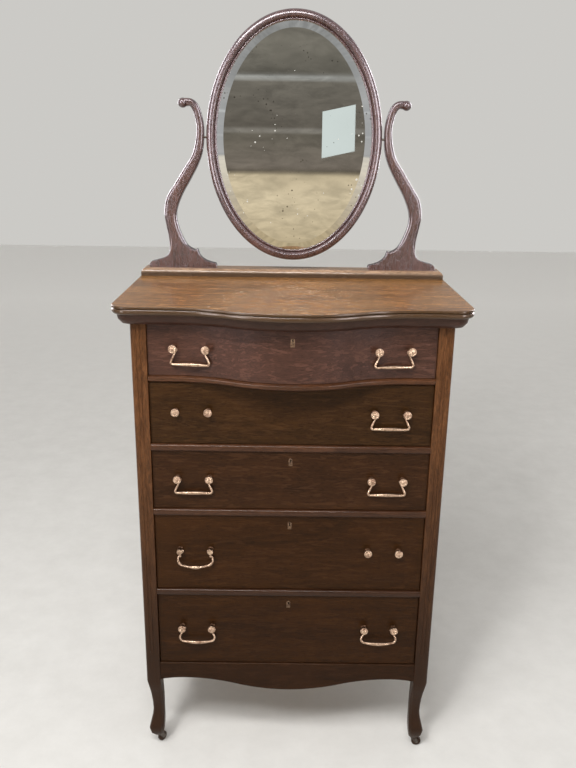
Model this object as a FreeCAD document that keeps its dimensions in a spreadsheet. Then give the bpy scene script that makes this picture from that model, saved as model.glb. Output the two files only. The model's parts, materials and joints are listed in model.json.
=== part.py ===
import FreeCAD, Part
import math
import os
import re
from FreeCAD import Placement, Rotation, Vector

os.makedirs("parts", exist_ok=True)

# A tall chest of five drawers with a tilting oval mirror, in millimetres.
# X runs to the right, the front faces -Y and Z is up. The origin is on the floor,
# in the middle of the whole footprint.

# Driving dimensions
SIZES = {
    # case
    "case_width": 750.0,
    "case_depth": 429.0,
    "post_width": 37.5,
    "post_depth": 40.0,
    "post_corner_radius": 8.0,
    "post_edge_radius": 1.5,
    "reed_groove_width": 2.4,
    "reed_groove_depth": 1.2,
    "reed_pitch": 8.5,
    "reed_start": 310.0,
    "leg_height": 183.0,
    "leg_set_in": 11.5,
    "leg_corner_radius": 7.0,
    "foot_height": 32.0,
    "opening_floor": 276.0,
    "opening_one_height": 125.0,
    "opening_two_height": 156.0,
    "opening_three_height": 154.0,
    "opening_four_height": 209.0,
    "opening_five_height": 206.0,
    "rail_thickness": 18.0,
    "curved_rail_thickness": 16.0,
    "rail_depth": 60.0,
    "rail_nose_radius": 6.5,
    "bulge": 60.0,
    "front_flat_length": 62.5,
    "apron_end_drop": 52.5,
    "apron_arch_drop": 46.0,
    "apron_middle_drop": 81.5,
    "apron_thickness": 20.0,
    "apron_setback": 3.0,
    "apron_nose_radius": 5.0,
    "side_rail_thickness": 22.0,
    "side_rail_height": 60.0,
    "side_rail_drop": 44.0,
    "side_panel_thickness": 6.0,
    "runner_width": 24.0,
    "runner_height": 14.0,
    "back_panel_thickness": 6.0,
    "back_panel_inset": 6.0,
    # top
    "top_overhang": 38.0,
    "back_overhang": 6.0,
    "top_corner_radius": 40.0,
    "bead_height": 14.5,
    "bead_depth": 6.2,
    "lip_height": 5.5,
    "lip_radius": 2.2,
    "moulding_thickness": 27.0,
    "moulding_setback": 10.0,
    "ovolo_width": 24.0,
    "moulding_strip_width": 62.0,
    # mirror base and harps
    "base_thickness": 21.0,
    "base_depth": 62.0,
    "base_end_inset": 2.0,
    "base_back_inset": 5.0,
    "thumbnail_radius": 13.0,
    "harp_reach": 110.0,
    "harp_end_gap": 20.01,
    "harp_gap": 5.5,
    "harp_thickness": 22.0,
    "harp_edge_bevel": 4.5,
    "scroll_radius": 12.5,
    "scroll_swell": 1.5,
    # mirror
    "mirror_half_height": 315.0,
    "mirror_foot_gap": 26.0,
    "mirror_tilt": 4.4,
    "frame_width": 27.0,
    "frame_crown": 10.0,
    "frame_depth": 10.0,
    "frame_bead_radius": 2.4,
    "rebate_width": 7.0,
    "glass_thickness": 6.0,
    "bevel_width": 24.0,
    "bevel_depth": 2.4,
    "glass_play": 0.8,
    "backboard_thickness": 4.0,
    "pivot_pin_radius": 3.0,
    "pivot_pin_seat": 12.0,
    "pivot_pin_reach": 12.0,
    # drawers
    "drawer_gap": 1.2,
    "drawer_recess": 8.0,
    "front_thickness": 20.0,
    "box_back_play": 12.0,
    "box_side_thickness": 12.0,
    "box_side_play": 1.5,
    "box_headroom": 8.0,
    "box_back_thickness": 10.0,
    "box_bottom_thickness": 6.0,
    "box_bottom_rise": 6.0,
    "runner_play": 0.3,
    "pull_inset": 101.0,
    "pull_spacing": 77.2,
    "post_seat": 0.9,
    "pull_flange_radius": 7.0,
    "pull_flange_thickness": 1.5,
    "pull_neck_radius": 4.3,
    "pull_neck_length": 13.5,
    "pull_head_radius": 10.0,
    "pull_head_thickness": 5.5,
    "pull_face_radius": 7.0,
    "pull_shank_radius": 2.2,
    "pull_nut_radius": 5.0,
    "pull_nut_thickness": 4.0,
    "pivot_height": 7.5,
    "bail_pin_radius": 2.0,
    "bail_pin_bite": 0.8,
    "bail_wire_radius": 2.2,
    "bail_grip_radius": 4.0,
    "bail_bend_radius": 3.0,
    "bail_corner_radius": 4.5,
    "bail_splay": 35.0,
    "bail_half_width": 43.3,
    "bail_drop": 38.5,
    "old_bail_half_width": 42.0,
    "old_bail_drop": 36.0,
    "old_bail_grip_radius": 5.0,
    "old_bail_grip_half_length": 17.0,
    "old_bail_ball_radius": 3.4,
    # locks
    "key_drop": 22.0,
    "lock_width": 60.0,
    "lock_height": 34.0,
    "lock_cover": 9.0,
    "escutcheon_width": 9.5,
    "escutcheon_height": 20.0,
    "escutcheon_thickness": 2.0,
    "keyhole_radius": 2.4,
    "keyhole_slot_width": 2.6,
    "keyhole_slot_length": 7.0,
    "bolt_width": 18.0,
    "bolt_thickness": 4.0,
    "bolt_height": 15.0,
    "bolt_throw": 6.0,
    "bolt_play": 0.2,
    "mortise_play": 1.0,
    # casters
    "wheel_radius": 13.0,
    "wheel_width": 11.0,
    "wheel_edge_radius": 1.5,
    "wheel_play": 0.5,
    "axle_radius": 2.0,
    "axle_head_radius": 3.4,
    "axle_head_height": 1.2,
    "caster_trail": 10.0,
    "fork_arm_thickness": 2.0,
    "fork_eye_radius": 5.0,
    "fork_plate_radius": 10.5,
    "fork_plate_thickness": 2.5,
    "fork_plate_play": 0.3,
    "stem_radius": 4.0,
    "stem_length": 40.0,
    "socket_wall": 1.5,
    "socket_length": 44.0,
    "socket_flange_radius": 10.0,
    "socket_flange_thickness": 1.5,
    # fits
    "running_clearance": 0.06,
}

# Shares chosen by hand from the shapes of the pieces
PULL_HEIGHT_SHARE = 0.545
CASTER_SWIVELS = {"front_left": 55.0, "front_right": 0.0, "back_left": 250.0, "back_right": 200.0}
BEHIND_BOX = "box_back_play - back_panel_inset - back_panel_thickness"
BOX_LENGTH = "case_depth - drawer_recess - front_thickness - " + BEHIND_BOX
# how many flats stand for a round section
OVAL_FLAT_COUNT = 72
WHEEL_FLAT_COUNT = 16
HEAD_FLAT_COUNT = 8
PIN_FLAT_COUNT = 8
NECK_FLAT_COUNT = 6
STEM_FLAT_COUNT = 6
WIRE_FLAT_COUNT = 5
NUT_FLAT_COUNT = 4
SCROLL_FLAT_COUNT = 12
ARM_FLAT_TURN = 9.0
# height share of the leg, set-in share, width share and corner share of each section
LEG_SHARES = [
    (1.0, 0.0, 1.0, 0.0),
    (0.863, 0.39, 0.92, 0.5),
    (0.70, 0.78, 0.84, 1.0),
    (0.47, 1.0, 0.773, 1.0),
    (0.306, 0.61, 0.893, 1.0),
    (0.164, 0.04, 1.053, 1.0),
    (0.066, 0.35, 0.907, 1.0),
    (0.0, 1.04, 0.64, 1.0),
]
LONG_STEP_SHARE = 0.14
# places on a harp: share of its reach outwards from the pivot, share of its rise from the base
HARP_FOOT_SHARES = [(-0.209, 0.038), (0.045, 0.066), (0.209, 0.148)]
HARP_INNER_SHARES = [
    (0.264, 0.138),
    (0.618, 0.275),
    (0.683, 0.462),
    (0.355, 0.678),
    (0.035, 0.909),
    (0.0, 1.05),
    (0.127, 1.232),
]
HARP_OUTER_SHARES = [
    (0.236, 1.175),
    (0.176, 1.055),
    (0.275, 0.888),
    (0.747, 0.645),
    (1.003, 0.430),
    (0.91, 0.230),
    (0.90, 0.130),
]
HARP_COVE_SHARES = [(0.90, 0.130), (1.06, 0.071), (1.345, 0.045)]
HARP_TOE_SHARES = [(1.409, 0.02), (1.409, 0.0), (-0.26, 0.0), (-0.26, 0.018)]
SCROLL_CENTRE_SHARES = (0.491, 1.2475)
SCROLL_TOP_ANGLE = 109.0
SCROLL_UNDER_ANGLE = 224.0
SCROLL_BEVEL_SHARE = 0.4
OVAL_ANGLES = (30.0, 60.0)
CROWN_SHARE = 0.45
FORK_ROOT_SHARE = 0.8

doc = FreeCAD.newDocument("Highboy")
sheet = doc.addObject("Spreadsheet::Sheet", "Sizes")
for row, (alias, value) in enumerate(SIZES.items(), start=1):
    sheet.set(f"A{row}", alias)
    sheet.set(f"B{row}", str(value))
    sheet.setAlias(f"B{row}", alias)
doc.recompute()


class Sheet:
    """Reads a driving dimension from the spreadsheet by its alias."""

    def __getattr__(self, alias):
        return float(sheet.get(alias))


s = Sheet()

# Heights and places that follow from the driving dimensions
half_width = s.case_width / 2
post_inner = half_width - s.post_width
bulge_span = post_inner - s.front_flat_length
pull_reach = post_inner - s.pull_inset
total_depth = s.bulge + s.top_overhang + s.case_depth + s.back_overhang
front = s.bulge + s.top_overhang - total_depth / 2
back = front + s.case_depth
leg_top = s.foot_height + s.leg_height

openings = {}
level = s.opening_floor
for number, word in ((5, "five"), (4, "four"), (3, "three"), (2, "two")):
    height = getattr(s, f"opening_{word}_height")
    openings[number] = (level, level + height)
    level += height + (s.curved_rail_thickness if number == 2 else s.rail_thickness)
openings[1] = (level, level + s.opening_one_height)
case_top = openings[1][1]
board_bottom = case_top + s.moulding_thickness
board_top = board_bottom + s.bead_height + s.lip_height
base_top = board_top + s.base_thickness
harp_rise = s.mirror_foot_gap + s.mirror_half_height
pivot_z = base_top + harp_rise
top_back = back + s.back_overhang
base_back = top_back - s.base_back_inset
base_front = base_back - s.base_depth
mirror_y = (base_front + base_back) / 2 + s.post_edge_radius / 2
base_end = half_width + s.top_overhang - s.base_end_inset
harp_inner = base_end - s.harp_end_gap - s.harp_reach * HARP_TOE_SHARES[0][0]
mirror_half_width = harp_inner - s.harp_gap

made = {}


def cells(text):
    """Turns a formula in aliases into one that reads the spreadsheet."""
    return re.sub(r"[a-z][a-z_]*", lambda word: "Sizes." + word.group(), text)


def size_of(formula):
    """Value of a formula written in aliases of the spreadsheet."""
    names = set(re.findall(r"[a-z][a-z_]*", formula))
    total = 0.0
    for sign, term in re.findall(r"([+-]?)\s*([^+-]+)", formula):
        product = 1.0
        for factor in term.split("*"):
            word = factor.strip()
            product *= getattr(s, word) if word in names else float(word)
        total += -product if sign == "-" else product
    return total


def measure(feature, **sizes):
    """Gives a feature its sizes: a formula in aliases stays tied to the sheet, a worked-out number is set."""
    for name, size in sizes.items():
        if isinstance(size, str):
            feature.setExpression(name, cells(size))
        else:
            setattr(feature, name, size)


def keep(label, feature):
    """Names a finished sub-part; the label becomes its file name."""
    feature.Label = label
    made[label] = feature
    return feature


def at(x=0.0, y=0.0, z=0.0, turn=None):
    return Placement(Vector(x, y, z), turn or Rotation())


# Helpers for bodies, sketches and features


def new_body(name, placement=None):
    body = doc.addObject("PartDesign::Body", name)
    body.Placement = placement or Placement()
    return body


def new_sketch(body, geometry, role="XY_Plane", rise=0.0, slide=0.0):
    """A sketch on one of the body's own planes, lifted along its normal by rise."""
    sketch = body.newObject("Sketcher::SketchObject", body.Name + "_sketch")
    plane = [item for item in body.Origin.OriginFeatures if item.Role == role][0]
    sketch.AttachmentSupport = [(plane, "")]
    sketch.MapMode = "FlatFace"
    sketch.AttachmentOffset = Placement(Vector(0, slide, rise), Rotation())
    sketch.addGeometry(geometry, False)
    return sketch


def grow(body, sketch, length, kind="Pad", backwards=False):
    """Pad or Pocket of a sketch, by a formula in aliases or by a worked-out length."""
    feature = body.newObject("PartDesign::" + kind, body.Name + "_" + kind.lower())
    feature.Profile = sketch
    feature.Reversed = backwards
    measure(feature, Length=length)
    return feature


def round_over(body, base, radius, chosen):
    """Fillet on the edges that a test picks out."""
    doc.recompute()
    names = [f"Edge{i}" for i, edge in enumerate(base.Shape.Edges, start=1) if chosen(edge)]
    fillet = body.newObject("PartDesign::Fillet", body.Name + "_fillet")
    fillet.Base = (base, names)
    measure(fillet, Radius=radius)
    return fillet


def sweep(body, profile, spine, mitred=False):
    pipe = body.newObject("PartDesign::AdditivePipe", body.Name + "_pipe")
    pipe.Profile = profile
    pipe.Spine = spine
    if mitred:
        pipe.Transition = "Right corner"
    return pipe


def loft(body, sketches, ruled=False):
    feature = body.newObject("PartDesign::AdditiveLoft", body.Name + "_loft")
    feature.Profile = sketches[0]
    feature.Sections = sketches[1:]
    feature.Ruled = ruled
    return feature


def block(name, length, width, height, x, y, z):
    """A board: its three sizes and the place of its lowest corner."""
    box = doc.addObject("Part::Box", name)
    measure(box, Length=length, Width=width, Height=height)
    box.Placement = at(x, y, z)
    return box


def across_corners(radius, sides):
    """Size to the corners of a few-sided hole whose flats clear a radius."""
    return radius / math.cos(math.pi / sides)


def bar(name, sides, radius, height, placement):
    """A straight bar with a regular section of few sides, its size measured to the corners."""
    prism = doc.addObject("Part::Prism", name)
    prism.Polygon = sides
    measure(prism, Circumradius=radius, Height=height)
    prism.Placement = placement
    return prism


def stacked(rings, hollow=False):
    """Solid with flat faces through rings of corners; a hollow one closes on itself like a frame."""
    faces = []
    for low, high in zip(rings, rings[1:] + (rings[:1] if hollow else [])):
        for index, corner in enumerate(low):
            after = (index + 1) % len(low)
            side = [corner, low[after], high[after], high[index], corner]
            faces.append(Part.Face(Part.makePolygon(side)))
    for ring in () if hollow else (rings[0], rings[-1]):
        faces.append(Part.Face(Part.makePolygon(ring + ring[:1])))
    return Part.makeSolid(Part.makeShell(faces))


def ring_of(sides, radius, along, x=0.0, y=0.0, turned=0.5):
    """Corners of a regular outline at a height along Z."""
    turns = [2 * math.pi * (i + turned) / sides for i in range(sides)]
    return [Vector(x + radius * math.cos(turn), y + radius * math.sin(turn), along) for turn in turns]


def solid(name, shape, placement):
    """A shape made directly, placed after it is set."""
    feature = doc.addObject("Part::Feature", name)
    feature.Shape = shape
    feature.Placement = placement
    return feature


def group(label, members):
    """Several separate solids that share one sub-part."""
    compound = doc.addObject("Part::Compound", label)
    compound.Links = members
    return keep(label, compound)


# Outlines


def closed(points):
    """Straight lines through points and back to the first."""
    corners = [Vector(x, y, 0) for x, y in points]
    return [Part.LineSegment(a, b) for a, b in zip(corners, corners[1:] + corners[:1])]


def rectangle(x_low, y_low, x_high, y_high):
    return closed([(x_low, y_low), (x_high, y_low), (x_high, y_high), (x_low, y_high)])


def polygon(sides, radius, x=0.0, y=0.0, turned=0.5):
    turns = [2 * math.pi * (i + turned) / sides for i in range(sides)]
    return closed([(x + radius * math.cos(turn), y + radius * math.sin(turn)) for turn in turns])


def line(start, end):
    return Part.LineSegment(Vector(*start, 0), Vector(*end, 0))


def arc(start, through, end):
    return Part.Arc(Vector(*start, 0), Vector(*through, 0), Vector(*end, 0))


def on_circle(centre, radius, degrees):
    turn = math.radians(degrees)
    return (centre[0] + radius * math.cos(turn), centre[1] + radius * math.sin(turn))


def bevelled_rectangle(x_low, y_low, x_high, y_high, cuts, proud):
    """Corners of a rectangle with flats across its corners; the proud corner gets two flats."""
    corners = [
        (x_low, y_low, 1, 1, 180),
        (x_high, y_low, -1, 1, 270),
        (x_high, y_high, -1, -1, 0),
        (x_low, y_high, 1, -1, 90),
    ]
    points = []
    for index, (x, y, inwards_x, inwards_y, begin) in enumerate(corners):
        cut = cuts[index]
        centre = (x + inwards_x * cut, y + inwards_y * cut)
        steps = (0, 45, 90) if index == proud else (0, 90)
        points += [on_circle(centre, cut, begin + step) for step in steps]
    return points


def serpentine(push, half_length, plane=front):
    """The front line of the case, left to right, pushed outwards by push.

    A hollow, a bulge and a hollow, all tangent. A push keeps every centre, so all the curved
    pieces stay parallel to each other.
    """
    radius = (bulge_span**2 + s.bulge**2) / (4 * s.bulge)
    swing = math.degrees(math.asin(bulge_span / (2 * radius)))
    hollow = radius - push
    swell = radius + push
    middle = (0.0, plane - s.bulge + radius)
    left = (-bulge_span, plane - radius)
    right = (bulge_span, plane - radius)
    left_bend = [on_circle(left, hollow, 90 - swing * share) for share in (0, 0.5, 1)]
    right_bend = [on_circle(right, hollow, 90 + swing * share) for share in (1, 0.5, 0)]
    crown = [on_circle(middle, swell, 270 + swing * share) for share in (-1, 0, 1)]
    return [
        line((-half_length, plane - push), left_bend[0]),
        arc(*left_bend),
        arc(left_bend[2], crown[1], right_bend[0]),
        arc(*right_bend),
        line(right_bend[2], (half_length, plane - push)),
    ]


def serpentine_depth(x, push):
    """How far the hollow of the curved front stands out from its flat ends at a place beside it."""
    radius = (bulge_span**2 + s.bulge**2) / (4 * s.bulge) - push
    return radius - math.sqrt(radius**2 - max(bulge_span - abs(x), 0.0) ** 2)


def top_outline(push, corner, rear):
    """Plan of the top: straight sides and back, round front corners, curved front."""
    side = half_width + push
    edge = front - push
    left = [on_circle((-side + corner, edge + corner), corner, turn) for turn in (180, 225, 270)]
    right = [on_circle((side - corner, edge + corner), corner, turn) for turn in (270, 315, 360)]
    return [
        line((-side, rear), left[0]),
        arc(*left),
        *serpentine(push, side - corner),
        arc(*right),
        line(right[2], (side, rear)),
        line((side, rear), (-side, rear)),
    ]


def level_edge(height, rear):
    """Test for the horizontal edges at a height, leaving out those along the back."""

    def chosen(edge):
        box = edge.BoundBox
        flat = abs(box.ZMin - height) < 1e-4 and abs(box.ZMax - height) < 1e-4
        return flat and not (abs(box.YMin - rear) < 1e-4 and abs(box.YMax - rear) < 1e-4)

    return chosen


# Top board: a full bead below, a crease, and a thin lip above


def moulded_layer(body, steps, level, outline_of):
    """Loft through parallel outlines: each step is a share list of height and inset."""
    sections = [new_sketch(body, outline_of(inset), rise=level + height) for height, inset in steps]
    return loft(body, sections, ruled=True)


def quarter_round(height, width, flats):
    """Heights and insets of a quarter round cut into flats, from its narrow lower end."""
    turns = [math.radians(90 * index / flats) for index in range(flats + 1)]
    return [(height * (1 - math.cos(turn)), width * (1 - math.sin(turn))) for turn in turns]


def half_round(height, depth, flats):
    """Heights and insets of a full bead cut into flats, from its lower edge to its upper edge."""
    turns = [math.radians(180 * index / flats - 90) for index in range(flats + 1)]
    return [(height * (1 + math.sin(turn)) / 2, depth * (1 - math.cos(turn))) for turn in turns]


def make_top_board():
    body = new_body("TopBoard")

    def plan(inset):
        return top_outline(s.top_overhang - inset, s.top_corner_radius - inset, top_back)

    moulded_layer(body, half_round(s.bead_height, s.bead_depth, 3), board_bottom, plan)
    lip = [(0.0, 0.0), (s.lip_height - s.lip_radius, 0.0), (s.lip_height, s.lip_radius)]
    moulded_layer(body, lip, board_bottom + s.bead_height, plan)
    return keep("top_board", body)


# Moulding under the top: a frame with a quarter-round face that comes down to the posts


def make_top_moulding():
    body = new_body("TopMoulding")
    push = s.top_overhang - s.moulding_setback
    corner = s.top_corner_radius - s.moulding_setback

    def plan(inset):
        return top_outline(push - inset, corner - inset, back)

    moulded_layer(body, quarter_round(s.moulding_thickness, s.ovolo_width, 3), case_top, plan)
    reach = half_width + push - s.moulding_strip_width
    well = rectangle(-reach, front + s.moulding_strip_width, reach, back - s.moulding_strip_width)
    grow(body, new_sketch(body, well, rise=board_bottom), "moulding_thickness", "Pocket")
    cut_bolt_mortise(body, bolt_y(1), case_top, 1)
    return keep("top_moulding", body)


# Locks sit at this depth behind the face of their drawer


def face_y(number):
    """Front face of a drawer, on its centre line."""
    return front + s.drawer_recess - (s.bulge if number == 1 else 0.0)


def bolt_y(number):
    return face_y(number) + s.lock_cover + (s.front_thickness - s.lock_cover) / 2


def cut_bolt_mortise(body, y, underside, direction):
    """Pocket in the underside of the piece above a lock, for its bolt."""
    half_long = s.bolt_width / 2 + s.mortise_play
    half_thick = s.bolt_thickness / 2 + s.mortise_play
    slot = rectangle(-half_long, y - half_thick, half_long, y + half_thick)
    sketch = new_sketch(body, slot, rise=underside)
    grow(body, sketch, "bolt_throw", "Pocket", backwards=direction > 0)


# Posts with their legs


def smooth_shares(table):
    """Rows of a share table with a smooth row between those far apart, so that a leg bends evenly."""
    rows = []
    for index in range(len(table) - 1):
        before = table[max(index - 1, 0)]
        here, there = table[index], table[index + 1]
        after = table[min(index + 2, len(table) - 1)]
        steps = 2 if here[0] - there[0] > LONG_STEP_SHARE else 1
        for step in range(steps):
            t_here = step / steps
            row = []
            for p, q, r, w in zip(before, here, there, after):
                bend = (r - p) * t_here + (2 * p - 5 * q + 4 * r - w) * t_here**2
                row.append(q + 0.5 * (bend + (3 * q - p - 3 * r + w) * t_here**3))
            rows.append(row)
    return rows + [list(table[-1])]


def leg_ring(side, share, rear):
    """Corners of one section of a post's leg, at its height."""
    height_share, in_share, width_share, corner_share = share
    set_in = s.leg_set_in * in_share
    wide = s.post_width * width_share
    deep = s.post_depth * width_share
    outer = half_width - set_in
    soft = s.post_edge_radius + (s.leg_corner_radius - s.post_edge_radius) * corner_share
    proud = s.post_corner_radius + (s.leg_corner_radius - s.post_corner_radius) * corner_share
    if rear:
        near, far = back - deep, back
        cuts = [soft, soft, proud, soft]
    else:
        near, far = front + set_in, front + set_in + deep
        cuts = [soft, proud, soft, soft]
    outline = bevelled_rectangle(outer - wide, near, outer, far, cuts, 2 if rear else 1)
    z = s.foot_height + s.leg_height * height_share
    return [Vector(side * x, y, z) for x, y in outline]


def foot_centre(side, rear):
    """Middle of the sole, where the caster's stem goes in."""
    _, in_share, width_share, _ = LEG_SHARES[-1]
    x = half_width - s.leg_set_in * in_share - s.post_width * width_share / 2
    deep = s.post_depth * width_share
    y = back - deep / 2 if rear else front + s.leg_set_in * in_share + deep / 2
    return side * x, y


def make_post(label, side, rear):
    rings = [leg_ring(side, share, rear) for share in smooth_shares(LEG_SHARES)]
    top = [Vector(corner.x, corner.y, case_top) for corner in rings[0]]
    post = solid("Post", stacked([top] + rings), Placement())
    cuts = []
    if not rear:
        middle = side * (half_width - s.post_width / 2)
        for step in (-0.5, 0.5):
            x = middle + step * s.reed_pitch - s.reed_groove_width / 2
            y = front - s.reed_groove_depth
            tall = case_top - s.reed_start
            cuts.append(block("Reed", "reed_groove_width", "2 * reed_groove_depth", tall, x, y, s.reed_start))
    x, y = foot_centre(side, rear)
    sole = at(x, y, s.foot_height)
    hole = across_corners(s.stem_radius + s.running_clearance, STEM_FLAT_COUNT) + s.socket_wall
    cuts.append(bar("SocketHole", STEM_FLAT_COUNT, hole, "socket_length", sole))
    cuts.append(bar("FlangeSeat", HEAD_FLAT_COUNT, "socket_flange_radius", "socket_flange_thickness", sole))
    tools = doc.addObject("Part::Compound", "PostCuts")
    tools.Links = cuts
    cut = doc.addObject("Part::Cut", "CutPost")
    cut.Base = post
    cut.Tool = tools
    return keep(label, cut)


# Side frames and panels


def make_sides():
    rails = []
    panels = []
    inner = half_width - (s.post_width + s.side_rail_thickness) / 2
    panel_inner = half_width - (s.post_width + s.side_panel_thickness) / 2
    low = s.opening_floor - s.side_rail_drop
    run = "case_depth - 2 * post_depth"
    panel_low = low + s.side_rail_height
    panel_high = case_top - s.side_rail_height
    y = front + s.post_depth
    for side in (-1, 1):
        x = inner if side > 0 else -inner - s.side_rail_thickness
        for z in (low, panel_high):
            rails.append(block("SideRail", "side_rail_thickness", run, "side_rail_height", x, y, z))
        x = panel_inner if side > 0 else -panel_inner - s.side_panel_thickness
        tall = panel_high - panel_low
        panels.append(block("SidePanel", "side_panel_thickness", run, tall, x, y, panel_low))
    group("side_rails", rails)
    group("side_panels", panels)


# Rails between the drawers


def make_curved_rail():
    body = new_body("CurvedRail")
    rear = front + s.rail_depth

    def plan(inset):
        return [
            *serpentine(-inset, post_inner),
            line((post_inner, front + inset), (post_inner, rear)),
            line((post_inner, rear), (-post_inner, rear)),
            line((-post_inner, rear), (-post_inner, front + inset)),
        ]

    nose = half_round(s.curved_rail_thickness, s.rail_nose_radius, 3)
    moulded_layer(body, nose, openings[1][0] - s.curved_rail_thickness, plan)
    return keep("curved_rail", body)


def make_drawer_rails():
    rails = []
    for number in (3, 4, 5):
        body = new_body("DrawerRail")
        underside = openings[number][1]
        plan = rectangle(-post_inner, front, post_inner, front + s.rail_depth)
        slab = grow(body, new_sketch(body, plan, rise=underside), "rail_thickness")

        def nose(edge):
            box = edge.BoundBox
            return box.YMax < front + 1e-3 and box.ZMax - box.ZMin < 1e-4

        round_over(body, slab, "rail_nose_radius", nose)
        cut_bolt_mortise(body, bolt_y(number), underside, 1)
        rails.append(body)
    return group("drawer_rails", rails)


def make_apron():
    """A board with a hollow beside each leg and a drop in the middle, all arcs."""
    body = new_body("Apron")
    top = s.opening_floor
    end = top - s.apron_end_drop
    arch = top - s.apron_arch_drop
    drop = top - s.apron_middle_drop
    span = bulge_span
    depth = arch - drop
    radius = (span**2 + depth**2) / (4 * depth)
    swing = math.degrees(math.asin(span / (2 * radius)))
    short = post_inner - span
    fall = arch - end
    end_radius = (short**2 + fall**2) / (2 * fall)
    end_swing = math.degrees(math.asin(short / end_radius))
    geometry = [line((-post_inner, top), (-post_inner, end))]
    left_centre, right_centre = (-span, arch - end_radius), (span, arch - end_radius)
    left = [on_circle(left_centre, end_radius, 90 + end_swing * share) for share in (1, 0.5, 0)]
    right = [on_circle(right_centre, end_radius, 90 - end_swing * share) for share in (0, 0.5, 1)]
    hollow = [on_circle((-span, arch - radius), radius, 90 - swing * share) for share in (0, 0.5, 1)]
    crown = [on_circle((0.0, drop + radius), radius, 270 + swing * share) for share in (-1, 0, 1)]
    rise = [on_circle((span, arch - radius), radius, 90 + swing * share) for share in (1, 0.5, 0)]
    geometry += [
        arc((-post_inner, end), left[1], left[2]),
        arc(left[2], hollow[1], hollow[2]),
        arc(hollow[2], crown[1], crown[2]),
        arc(crown[2], rise[1], rise[2]),
        arc(rise[2], right[1], (post_inner, end)),
        line((post_inner, end), (post_inner, top)),
        line((post_inner, top), (-post_inner, top)),
    ]
    face = front + s.apron_setback
    outline = new_sketch(body, geometry, "XZ_Plane", rise=-face)
    board = grow(body, outline, "apron_thickness", backwards=True)

    def nose(edge):
        box = edge.BoundBox
        return box.YMax < face + 1e-3 and box.ZMin > top - 1e-3

    round_over(body, board, "apron_nose_radius", nose)
    return keep("apron", body)


def make_runners():
    runners = []
    rear = back - s.back_panel_inset - s.back_panel_thickness
    for number, (low, _) in openings.items():
        begin = front + s.rail_depth
        if number == 5:
            begin = front + s.apron_setback + s.apron_thickness
        for x in (-post_inner, post_inner - s.runner_width):
            z = low - s.runner_height
            runners.append(block("Runner", "runner_width", rear - begin, "runner_height", x, begin, z))
    return group("drawer_runners", runners)


def make_back_panel():
    y = back - s.back_panel_inset - s.back_panel_thickness
    low = s.opening_floor - s.side_rail_drop
    wide = "case_width - 2 * post_width"
    panel = block("BackPanel", wide, "back_panel_thickness", case_top - low, -post_inner, y, low)
    return keep("back_panel", panel)


# Mirror base: a board across the back of the top with a quarter-round front and ends


def make_mirror_base():
    body = new_body("MirrorBase")
    plan = rectangle(-base_end, base_front, base_end, base_back)
    slab = grow(body, new_sketch(body, plan, rise=board_top), "base_thickness")
    round_over(body, slab, "thumbnail_radius", level_edge(base_top, base_back))
    return keep("mirror_base", body)


# Harps: the two scrolled arms that carry the mirror


def harp_place(side, share):
    return (side * (harp_inner + s.harp_reach * share[0]), harp_rise * share[1])


def tangent_arcs(points):
    """Places along a curve through points: two arcs for each step, all tangent, cut into short flats."""
    places = [Vector(x, y, 0) for x, y in points]
    headings = []
    for index, place in enumerate(places):
        before = places[max(index - 1, 0)]
        after = places[min(index + 1, len(places) - 1)]
        if index in (0, len(places) - 1):
            headings.append((after - before).normalize())
            continue
        back_step, next_step = place - before, after - place
        weight = back_step.Length / (back_step.Length + next_step.Length)
        mixed = back_step.normalize() * (1 - weight) + next_step.normalize() * weight
        headings.append(mixed.normalize())
    headings[0] = mirrored_heading(places[0], places[1], headings[1])
    headings[-1] = mirrored_heading(places[-1], places[-2], headings[-2])
    curve = []
    for begin, finish, out, arrive in zip(places, places[1:], headings, headings[1:]):
        span = finish - begin
        turn = 2 * (1 - out.dot(arrive))
        lean = span.dot(out + arrive)
        reach = span.Length / 2
        if turn > 1e-9:
            reach = (math.sqrt(lean * lean + turn * span.dot(span)) - lean) / turn
        first = begin + out * reach
        second = finish - arrive * reach
        meet = (first + second) * 0.5
        curve += bend_between(begin, first, meet) + bend_between(meet, second, finish)
    return curve + places[-1:]


def mirrored_heading(end, neighbour, heading):
    """Heading at an end of a curve, so that its last step bends evenly."""
    along = (neighbour - end).normalize()
    return (along * (2 * along.dot(heading)) - heading).normalize()


def bend_between(begin, corner, finish):
    """Places along the arc that is tangent to the lines from begin and finish to their shared corner."""
    chord = (finish - begin) * 0.5
    middle = begin + chord
    rise = corner - middle
    half_turn = math.atan2(rise.Length, chord.Length)
    flats = max(1, round(math.degrees(2 * half_turn) / ARM_FLAT_TURN))
    if flats == 1:
        return [begin]
    radius = chord.Length / math.sin(half_turn)
    across, out = chord.normalize(), rise.normalize()
    centre = middle - out * (radius * math.cos(half_turn))
    turns = [half_turn * (2 * index / flats - 1) for index in range(flats)]
    return [centre + (out * math.cos(turn) + across * math.sin(turn)) * radius for turn in turns]


def drawn_in(outline, distances):
    """Corners of an outline whose sides each lie their own distance inside those of another."""
    corners = list(zip(outline, outline[1:] + outline[:1]))
    area = sum(a.x * b.y - b.x * a.y for a, b in corners)
    sides = []
    for (a, b), distance in zip(corners, distances):
        along = (b - a).normalize()
        inwards = Vector(-along.y, along.x, 0) * math.copysign(distance, area)
        sides.append((a + inwards, along))
    moved = []
    for (start, along), (other, heading) in zip(sides[-1:] + sides[:-1], sides):
        cross = along.x * heading.y - along.y * heading.x
        gap = other - start
        reach = (gap.x * heading.y - gap.y * heading.x) / cross
        moved.append(start + along * reach)
    return moved


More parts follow.
